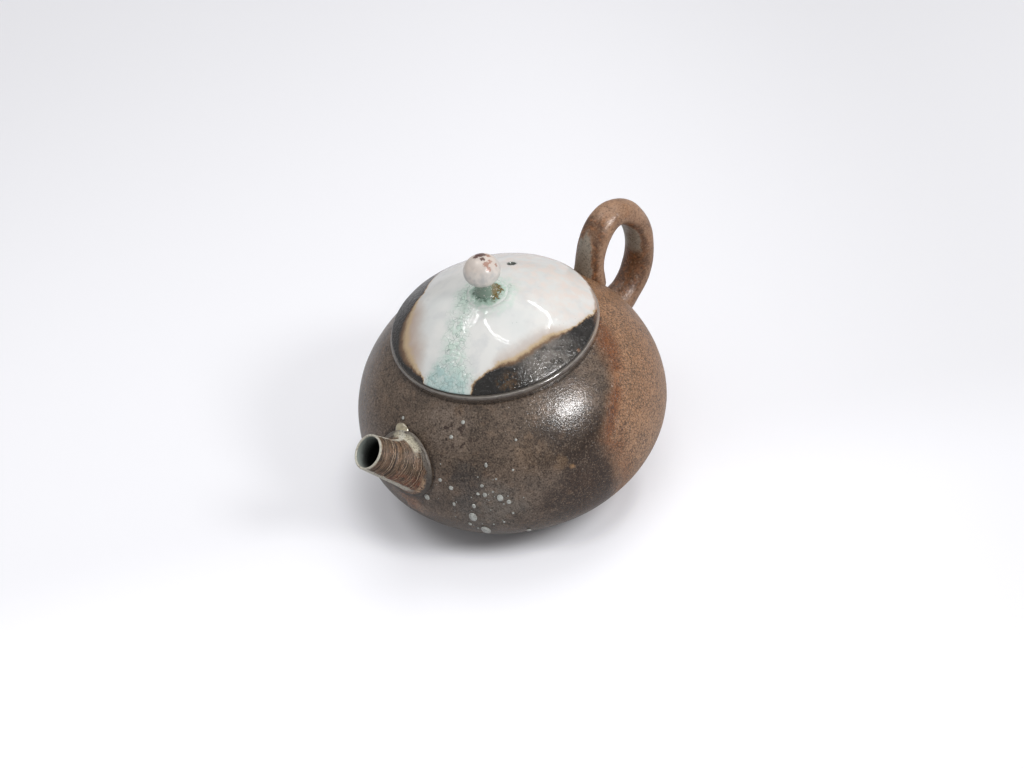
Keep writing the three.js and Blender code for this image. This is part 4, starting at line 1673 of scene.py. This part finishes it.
@dataclass
class Handle:
    """The pulled handle: an oval section along an upright loop behind the globe."""

    root_rise: float = 18.4
    heel_rise: float = 4.2
    crest: tuple[float, float] = (3.4, 31.8)
    bulge: tuple[float, float] = (12.4, 19.5)
    root_pull: float = 5.8
    crest_pull: float = 5.7
    heel_pull: float = 7.1
    heel_tilt: float = math.radians(8)
    crest_roundness: float = 0.55
    heel_roundness: float = 0.6
    bite: float = 1.4
    heel_bite: float = 0.7
    root_bite: float = 0.7
    root_sink: tuple[float, float] = (0.5, 1.6)
    upper_thickness: float = 6.2
    lower_thickness: float = 7.2
    width: float = 8.4
    flare: float = 0.1
    flare_length: float = 2.5
    swell_size: float = 7
    swell: float = 0.35
    steps: int = 30
    sides: int = 40

    def centre_line(self) -> list[Vector]:
        """The middle of the handle from its root over the crest and the bulge to its heel.

        Returns:
            Its points.
        """
        start_z = GLOBE.girth_height
        root = Vector((GLOBE.radius_at(start_z + self.root_rise), 0, start_z + self.root_rise))
        heel = Vector((GLOBE.radius_at(start_z + self.heel_rise), 0, start_z + self.heel_rise))
        crest = Vector((GLOBE.girth_radius + self.crest[0], 0, start_z + self.crest[1]))
        bulge = Vector((GLOBE.girth_radius + self.bulge[0], 0, start_z + self.bulge[1]))
        out = Vector((math.cos(self.heel_tilt), 0, math.sin(self.heel_tilt)))
        round_x = crest.x + (bulge.x - crest.x) * self.crest_roundness
        round_z = bulge.z + (crest.z - bulge.z) * self.crest_roundness
        sink_z = bulge.z + (heel.z - bulge.z) * self.heel_roundness
        curves = (
            (root, root + UP * self.root_pull, crest - Vector((self.crest_pull, 0, 0)), crest),
            (crest, Vector((round_x, 0, crest.z)), Vector((bulge.x, 0, round_z)), bulge),
            (bulge, Vector((bulge.x, 0, sink_z)), heel + out * self.heel_pull, heel),
        )
        inward, down = self.root_sink
        deepest = root - Vector((self.bite * inward, 0, self.bite * down))
        line = [deepest, root - UP * self.bite * self.root_bite]
        for a, b, c, d in curves:
            for i in range(self.steps):
                t = i / self.steps
                line.append(a * (1 - t) ** 3 + b * 3 * t * (1 - t) ** 2 + c * 3 * t**2 * (1 - t) + d * t**3)
        line.extend([heel, heel - out * self.bite * self.heel_bite, heel - out * self.bite])
        return line

    def build(self) -> None:
        """Builds and dresses the handle."""
        line = self.centre_line()
        lengths = [0.0]
        for here, there in pairwise(line):
            lengths.append(lengths[-1] + (there - here).length)
        whole = lengths[-1]
        broad = Vector((0, 1, 0))
        rings, lidward = [], []
        for i, centre in enumerate(line):
            ahead = (line[min(i + 1, len(line) - 1)] - line[max(i - 1, 0)]).normalized()
            across = broad.cross(ahead).normalized()
            from_end = max(min(lengths[i], whole - lengths[i]) - 2 * self.bite, 0)
            wide = 1 + self.flare * math.exp(-((from_end / self.flare_length) ** 2))
            thick = self.upper_thickness + (self.lower_thickness - self.upper_thickness) * lengths[i] / whole
            ring = []
            for k in range(self.sides):
                turn = FULL_TURN * k / self.sides
                out = across * math.cos(turn) * thick / 2 + broad * math.sin(turn) * self.width / 2
                ring.append(centre + out * wide)
                lidward.append(-(across * math.cos(turn)).x)
            rings.append(ring)
        piece = swept("pulled_handle", rings, closed=False)
        index = nearest(piece, [place for ring in rings for place in ring])
        record_field(piece, "handle_lidward", np.array(lidward)[index])
        hand_made(piece, self.swell_size, self.swell)
        dressed(piece, HandleGlaze().made(), Body.POT, Slot.HANDLE, "handle")


@dataclass(frozen=True)
class Patch:
    """A patch of another glaze on the lid, seen from above."""

    outline: tuple[tuple[float, float], ...]

    def depth_inside(self, places: np.ndarray) -> np.ndarray:
        """How far inside the outline each place is in mm, negative outside.

        Args:
            places: The places, as rows of x and y.

        Returns:
            The distance for each of them.
        """
        corners = np.array(self.outline)
        following = np.roll(corners, -1, axis=0)
        shortest = np.full(len(places), np.inf)
        inside = np.zeros(len(places), bool)
        for (ax, ay), (bx, by) in zip(corners, following, strict=True):
            run = np.array([bx - ax, by - ay])
            share = np.clip(((places - (ax, ay)) @ run) / (run @ run), 0, 1)
            foot = np.array([ax, ay]) + share[:, None] * run
            shortest = np.minimum(shortest, np.hypot(*(places - foot).T))
            crosses = (ay > places[:, 1]) != (by > places[:, 1])
            level = ax + (places[:, 1] - ay) * (bx - ax) / ((by - ay) or 1e-9)
            inside ^= crosses & (places[:, 0] < level)
        return np.where(inside, shortest, -shortest)


@dataclass
class Lid:
    """The domed lid with its seating ring, its knob and the glaze pooled round the neck."""

    radius: float = 26.2
    base: float = 50.26
    dome_rise: float = 9.7
    fullness: float = 2.1
    edge_height: float = 0.8
    edge_round: float = 0.55
    edge_sweep: float = 52
    edge_steps: int = 8
    wall: float = 2.3
    ring_outer: float = 22.15
    ring_wall: float = 1.6
    ring_depth: float = 5.2
    ring_bevel: float = 0.4
    vent_radius: float = 1.1
    vent_reach: float = 14.2
    vent_turn: float = math.radians(21.2)
    vent_cut: float = 14
    knob_radius: float = 4.7
    knob_half_height: float = 3.9
    knob_centre: float = 68.05
    neck_seat_radius: float = 3.1
    neck_radius: float = 2.3
    neck_bends: tuple[float, float, float] = (0.2, 0.5, 0.8)
    ridge_radius: float = 5.9
    ridge_height: float = 0.32
    ridge_width: float = 0.5
    dip_inward: float = 1.5
    dip_width: float = 0.9
    dip_share: float = 0.5
    pool_lifts: Profile = (
        (2.2, -0.2), (2.3, 1.2), (2.6, 0.75), (3.1, 0.42), (3.9, 0.22), (4.8, 0.16), (5.4, 0.05), (5.2, -0.2),
        (2.2, -0.2),
    )  # fmt: skip
    sides: int = 96
    knob_sides: int = 48
    pool_sides: int = 64
    vent_sides: int = 24
    steps: int = 30
    inner_steps: int = 12
    knob_steps: int = 18
    mark_reach: float = 9
    skin_depth: float = 1
    dome_swell: tuple[float, float] = (12, 0.25)
    knob_swell: tuple[float, float] = (5, 0.12)
    pool_swell: tuple[float, float] = (2.4, 0.3)
    crescent: Patch = Patch((
        (7.5, 25.2), (3.4, 23.4), (-0.5, 21.6), (-5.7, 18.8), (-10.3, 17.1), (-14.5, 15.1), (-18.1, 12.6),
        (-20.8, 10.0), (-23.2, 5.7), (-24.5, 2.3), (-25.3, -0.4), (-26.6, -1.6), (-30, -1.6), (-29, 9),
        (-24, 18), (-15, 26), (-4, 30), (7.5, 30),
    ))  # fmt: skip
    wedge: Patch = Patch((
        (-22.4, -14.6), (-20.6, -13.4), (-18.4, -13.8), (-15.3, -15.1), (-13.0, -15.8), (-10.0, -17.7),
        (-6.6, -18.6), (-2.9, -19.2), (1.4, -19.8), (5.3, -20.7), (9.0, -21.0), (12.3, -20.5), (15.7, -19.8),
        (18.6, -18.6), (22, -21), (14, -27), (4, -30), (-8, -30), (-18, -25), (-25, -17),
    ))  # fmt: skip
    run: Patch = Patch((
        (-2.0, 5.6), (-4.1, 5.2), (-8.4, 2.8), (-13.3, -0.4), (-17.8, -2.4), (-20.8, -3.6), (-24.7, -2.6),
        (-27.5, -3.0), (-27, -9), (-24, -14), (-20.4, -12.3), (-18.6, -8.6), (-16.2, -5.7), (-11.8, -3.2),
        (-7.1, 0.2), (-2.7, 2.7), (1.5, -3.5), (4.5, -3.0), (2.5, 2.0),
    ))  # fmt: skip

    def height_at(self, radius: float | np.ndarray) -> float | np.ndarray:
        """The height of the lid's plain dome at a radius, or at several."""
        return self.base + self.edge_height + self.dome_rise * (1 - (radius / self.radius) ** self.fullness)

    def surface_at(self, radius: float) -> float:
        """The dome's height with the low ridge of glaze round the neck.

        Args:
            radius: The radius.

        Returns:
            The height.
        """
        past = radius - self.ridge_radius
        ridge = self.ridge_height * math.exp(-((past / self.ridge_width) ** 2))
        dip = math.exp(-(((past + self.dip_inward) / self.dip_width) ** 2))
        return self.height_at(radius) + ridge - self.dip_share * self.ridge_height * dip

    def build(self) -> None:
        """Builds and dresses the whole lid."""
        dressed(self.dome(), LidGlaze().made(), Body.LID, Slot.LID, "lid_dome")
        dressed(self.ring(), BareClay().made(), Body.LID, Slot.CLAY, "lid_ring")
        dressed(self.knob(), KnobGlaze().made(), Body.LID, Slot.KNOB, "lid_knob")
        dressed(self.pool(), PooledGlaze().made(), Body.LID, Slot.LID)

    def dome(self) -> bpy.types.Object:
        """Turns the dome, pierces its vent and marks where the other glazes lie.

        Returns:
            The dome.
        """
        hollow = self.ring_outer - self.ring_wall
        size = self.edge_round
        edge = arc(self.radius - size, self.base + size, size, -90, self.edge_sweep, self.edge_steps)
        shoulder = edge[-1][0]
        outer = [shoulder * (1 - i / self.steps) for i in range(1, self.steps + 1)]
        inner = [hollow * i / self.inner_steps for i in range(self.inner_steps + 1)]
        outside = [(radius, self.surface_at(radius)) for radius in outer]
        inside = [(radius, self.height_at(radius) - self.wall) for radius in inner]
        piece = turned("domed_lid", [*inside, (hollow, self.base), *edge, *outside], self.sides)
        smoothed(piece, 1)
        aim = Vector((math.cos(self.vent_turn), math.sin(self.vent_turn), 0))
        vent = aim * self.vent_reach + UP * self.base
        cut(piece, rod("vent", vent, vent + UP * self.vent_cut, self.vent_radius, self.vent_sides))
        hand_made(piece, *self.dome_swell)
        places, heights = vertex_places(piece)[:, :2], vertex_places(piece)[:, 2]
        reach = np.hypot(*places.T)
        dome = self.height_at(np.minimum(reach, self.radius))
        below = heights < np.where(reach < self.ring_outer, dome, self.base) - self.skin_depth
        charcoal = np.maximum(self.crescent.depth_inside(places), self.wedge.depth_inside(places))
        far = self.mark_reach
        for field, depth in (("lid_charcoal", charcoal), ("lid_run", self.run.depth_inside(places))):
            record_field(piece, field, np.where(below, -far, np.clip(depth, -far, far)))
        return piece

    def ring(self) -> bpy.types.Object:
        """Turns the ring that keeps the lid in the mouth.

        Returns:
            The ring.
        """
        inner, bottom = self.ring_outer - self.ring_wall, self.base - self.ring_depth
        profile = [
            (inner, bottom + self.ring_bevel), (inner + self.ring_bevel, bottom),
            (self.ring_outer - self.ring_bevel, bottom), (self.ring_outer, bottom + self.ring_bevel),
            (self.ring_outer, self.base), (inner, self.base), (inner, bottom + self.ring_bevel),
        ]  # fmt: skip
        return turned("seating_ring", profile, 2 * self.sides)

    def knob(self) -> bpy.types.Object:
        """Turns the ball knob on its short neck.

        Returns:
            The knob.
        """
        start = -math.acos(self.neck_radius / self.knob_radius)
        seat = self.height_at(self.neck_seat_radius)
        ball = []
        for i in range(self.knob_steps + 1):
            angle = start + (math.pi / 2 - start) * i / self.knob_steps
            height = self.knob_centre + self.knob_half_height * math.sin(angle)
            ball.append((self.knob_radius * math.cos(angle), height))
        ball[-1] = (0, ball[-1][1])
        neck = ball[0][1] - seat
        half_way = (self.neck_seat_radius + self.neck_radius) / 2
        fillet = [(self.neck_seat_radius, seat)]
        for radius, bend in zip((half_way, self.neck_radius, self.neck_radius), self.neck_bends, strict=True):
            fillet.append((radius, seat + neck * bend))
        piece = turned("ball_knob", [(0, seat), *fillet, *ball], self.knob_sides)
        smoothed(piece, 1)
        hand_made(piece, *self.knob_swell)
        return piece

    def pool(self) -> bpy.types.Object:
        """Models the glassy glaze that lies in the hollow between the neck and the ridge.

        Returns:
            The pooled glaze.
        """
        section = [(radius, self.height_at(radius) + lift) for radius, lift in self.pool_lifts]
        piece = turned("neck_glaze_pool", section, self.pool_sides)
        smoothed(piece, 1)
        hand_made(piece, *self.pool_swell)
        return piece


# Studio


@dataclass(frozen=True)
class Lamp:
    """One soft lamp, aimed at the pot."""

    name: str
    direction: Place
    distance: float
    width: float
    power: float
    mirrored: bool = True


@dataclass(frozen=True)
class Rim:
    """One bright stretch of a lamp's rim, or a narrow loop beside it, with its angles in degrees."""

    reach: float
    tube: float
    start: float
    end: float
    aside: tuple[float, float] = (0.0, 0.0)
    narrow: float = 1.0


@dataclass(frozen=True)
class Glare:
    """A glowing disc just behind a lamp, with its radius in m, which only reflections show."""

    name: str
    lamp: int
    radius: float
    glow: float


@dataclass(frozen=True)
class Shade:
    """A round part of the floor that the pot keeps dim, with its ring of soft edge in mm."""

    middle: Place
    inner: float
    outer: float
    left: float


@dataclass
class Studio:
    """The pale floor, the soft lamps and the camera at the photo's viewing angle."""

    camera_place: Place = (-271.73, -368.80, 446.97)
    heading: float = math.radians(36.5)
    elevation: float = math.radians(42.38)
    roll: float = math.radians(12.956)
    lens: float = 85.0
    sensor: float = 36
    floor_size: float = 12.0
    aim: Place = (0, 0, 30)
    lamps: tuple[Lamp, ...] = (
        Lamp("key_lamp", (0.15, -0.77, 0.64), 0.9, 0.2, 3.0),
        Lamp("overhead_lamp", (0.37, 0.09, 0.92), 0.8, 0.56, 2.2, mirrored=False),
    )
    behind_lamp: float = 0.01
    rim_steps: int = 24
    rim_tube_sides: int = 8
    disc_sides: int = 48
    rims: tuple[Rim, ...] = (
        Rim(1.0, 0.006, 28, 114), Rim(1.0, 0.006, 203, 279),
        Rim(0.6, 0.009, -180, 180, (1.45, 0.55), 0.36),
    )  # fmt: skip
    rim_glow: float = 22.0
    glares: tuple[Glare, ...] = (
        Glare("lamp_diffuser", 1, LAMP_FACE, 0.6), Glare("key_core", 0, 0.11, 41.0),
    )  # fmt: skip
    shades: tuple[Shade, ...] = (
        Shade((-5, 2, 0), 25.0, 33.0, 0.0),
        Shade((-12, 13, 0), 24.0, 36.0, 0.5),
        Shade((-2, -16, 0), 16.0, 22.0, 0.65),
    )  # fmt: skip
    away_from_camera: tuple[float, float] = (0.595, 0.804)
    near_glow: tuple[float, ...] = (-45, 5, 0.14, 0)
    far_glow: tuple[float, ...] = (20, 300, 0.37, 0.22)
    side_fade: tuple[float, ...] = (10, 150, 1, 0.5)
    paper: Colour = srgb(206, 206, 209)
    paper_glow: Colour = srgb(250, 250, 255)
    sky: Colour = (0.985, 0.98, 0.985, 1)
    sky_height: float = 0.5
    level_sky: float = 0.34
    high_sky: float = 0.57

    def build(self) -> None:
        """Sets up the floor, the world, the lamps, what reflections show of them, and the camera."""
        self.lay_floor()
        self.light_world()
        for lamp in self.lamps:
            self.hang(lamp)
        self.hang_rims(self.lamps[-1])
        for glare in self.glares:
            self.hang_glare(glare)
        self.set_camera()

    def lay_floor(self) -> None:
        """Lays the seamless paper, which glows a little to the camera and less so close to the pot."""
        put_away()
        bpy.ops.mesh.primitive_plane_add(size=self.floor_size, location=(0, 0, 0))
        floor = named("studio_floor")
        g = Glaze("seamless_paper")
        sine, cosine = self.away_from_camera
        away = g.plus(g.times(g.x, sine), g.times(g.y, cosine))
        rays = g.add("ShaderNodeLightPath").outputs["Is Camera Ray"]
        aside = g.plus(g.times(g.x, cosine), g.times(g.y, -sine))
        glow = g.plus(g.ease(away, *self.near_glow), g.ease(away, *self.far_glow))
        glow = g.times(glow, g.ease(aside, *self.side_fade))
        for shade in self.shades:
            reach = g.distance(shade.middle)
            glow = g.times(glow, g.ease(reach, shade.inner, shade.outer, shade.left, 1))
        g.fire(self.paper, 0.9, Specular_IOR_Level=0.2)
        g.shader.inputs["Emission Color"].default_value = self.paper_glow
        g.tree.links.new(g.times(rays, glow), g.shader.inputs["Emission Strength"])
        floor.data.materials.append(g.material)

    def light_world(self) -> None:
        """Fills the shadows from a plain world, a little dimmer at its horizon and white to the camera."""
        world = bpy.data.worlds.new("studio_world")
        bpy.context.scene.world = world
        world.use_nodes = True
        background = world.node_tree.nodes["Background"]
        background.inputs["Color"].default_value = self.sky
        nodes, link = world.node_tree.nodes, world.node_tree.links.new
        toward = nodes.new("ShaderNodeTexCoord").outputs["Generated"]
        split = nodes.new("ShaderNodeSeparateXYZ")
        link(toward, split.inputs[0])
        sky = nodes.new("ShaderNodeMapRange")
        sky.inputs["From Max"].default_value = self.sky_height
        sky.inputs["To Min"].default_value = self.level_sky
        sky.inputs["To Max"].default_value = self.high_sky
        link(split.outputs["Z"], sky.inputs["Value"])
        strength = nodes.new("ShaderNodeMix")
        strength.inputs["B"].default_value = 1.0
        link(sky.outputs[0], strength.inputs["A"])
        link(nodes.new("ShaderNodeLightPath").outputs["Is Camera Ray"], strength.inputs["Factor"])
        link(strength.outputs["Result"], background.inputs["Strength"])

    def hang(self, lamp: Lamp) -> None:
        """Hangs one round soft lamp.

        Args:
            lamp: The lamp.
        """
        put_away()
        away = Vector(lamp.direction).normalized()
        place = Vector(self.aim) * MM + away * lamp.distance
        turn = away.to_track_quat("Z", "Y").to_euler()
        bpy.ops.object.light_add(type="AREA", location=place, rotation=turn)
        light = named(lamp.name)
        light.data.shape = "DISK"
        light.data.size = lamp.width
        light.data.energy = lamp.power
        light.visible_glossy = lamp.mirrored

    def hang_rims(self, lamp: Lamp) -> None:
        """Hangs a lamp's broken bright rims, which show only in reflections.

        Args:
            lamp: The lamp.
        """
        place, bright = self.behind(lamp), self.glowing("lamp_rim", self.rim_glow)
        for number, rim in enumerate(self.rims):
            put_away()
            last = math.radians(rim.end)
            reach = LAMP_FACE * rim.reach
            bpy.ops.mesh.primitive_circle_add(
                vertices=self.rim_tube_sides, radius=rim.tube, rotation=(math.pi / 2, 0, last),
                location=(reach * math.cos(last), reach * math.sin(last), 0),
            )
            piece = named(f"lamp_rim_{number}")
            settle(piece)
            bpy.ops.object.mode_set(mode="EDIT")
            bpy.ops.mesh.select_all(action="SELECT")
            sweep = last - math.radians(rim.start)
            bpy.ops.mesh.spin(steps=self.rim_steps, angle=sweep, center=(0, 0, 0), axis=(0, 0, 1))
            bpy.ops.object.mode_set(mode="OBJECT")
            shift = Matrix.Translation((*(LAMP_FACE * part for part in rim.aside), 0))
            piece.data.transform(shift @ Matrix.Diagonal((rim.narrow, 1, 1, 1)))
            self.show_in_reflections(piece, bright, place)

    def hang_glare(self, glare: Glare) -> None:
        """Hangs one glowing disc.

        Args:
            glare: The disc.
        """
        put_away()
        bpy.ops.mesh.primitive_circle_add(vertices=self.disc_sides, radius=glare.radius, fill_type="NGON")
        place = self.behind(self.lamps[glare.lamp])
        self.show_in_reflections(named(glare.name), self.glowing(glare.name, glare.glow), place)

    def behind(self, lamp: Lamp) -> Matrix:
        """The place just behind a lamp, turned to the pot.

        Args:
            lamp: The lamp.

        Returns:
            The place and the turn.
        """
        away = Vector(lamp.direction).normalized()
        place = Vector(self.aim) * MM + away * (lamp.distance + self.behind_lamp)
        return Matrix.Translation(place) @ facing(away)

    def glowing(self, name: str, glow: float) -> bpy.types.Material:
        """A plain white glow.

        Args:
            name: The material's name.
            glow: How strongly it glows.

        Returns:
            The material.
        """
        g = Glaze(name)
        g.shader.inputs["Emission Color"].default_value = (1, 1, 1, 1)
        g.shader.inputs["Emission Strength"].default_value = glow
        return g.material

    def show_in_reflections(
        self, piece: bpy.types.Object, material: bpy.types.Material, place: Matrix
    ) -> None:
        """Puts a glowing piece in its place, seen by glossy rays alone.

        Args:
            piece: The piece.
            material: Its glow.
            place: Its place and its turn.
        """
        piece.matrix_world = place
        piece.data.materials.append(material)
        piece.visible_camera = False
        piece.visible_diffuse = False
        piece.visible_shadow = False

    def set_camera(self) -> None:
        """Stands the camera where the photo was taken from, rolled as it was."""
        put_away()
        level = Vector((math.cos(self.heading), -math.sin(self.heading), 0))
        reach = math.cos(self.elevation)
        back = Vector((-math.sin(self.heading), -math.cos(self.heading), 0))
        toward = back * reach + UP * math.sin(self.elevation)
        upright = toward.cross(level)
        right = level * math.cos(self.roll) - upright * math.sin(self.roll)
        up = level * math.sin(self.roll) + upright * math.cos(self.roll)
        turn = Matrix((right, up, toward)).transposed()
        bpy.ops.object.camera_add(location=Vector(self.camera_place) * MM, rotation=turn.to_euler())
        camera = named("photo_camera")
        camera.data.lens = self.lens
        camera.data.sensor_width = self.sensor
        bpy.context.scene.camera = camera


def main() -> None:
    """Builds the teapot, then the studio round it."""
    logging.basicConfig(level=logging.INFO, format="%(name)s: %(message)s")
    bpy.context.scene.view_settings.view_transform = "Standard"
    for maker in (PotBody(), Spout(), Strainer(), Handle(), Lid(), Studio()):
        log.info("building %s", type(maker).__name__)
        maker.build()
    put_away()


if __name__ == "__main__":
    main()
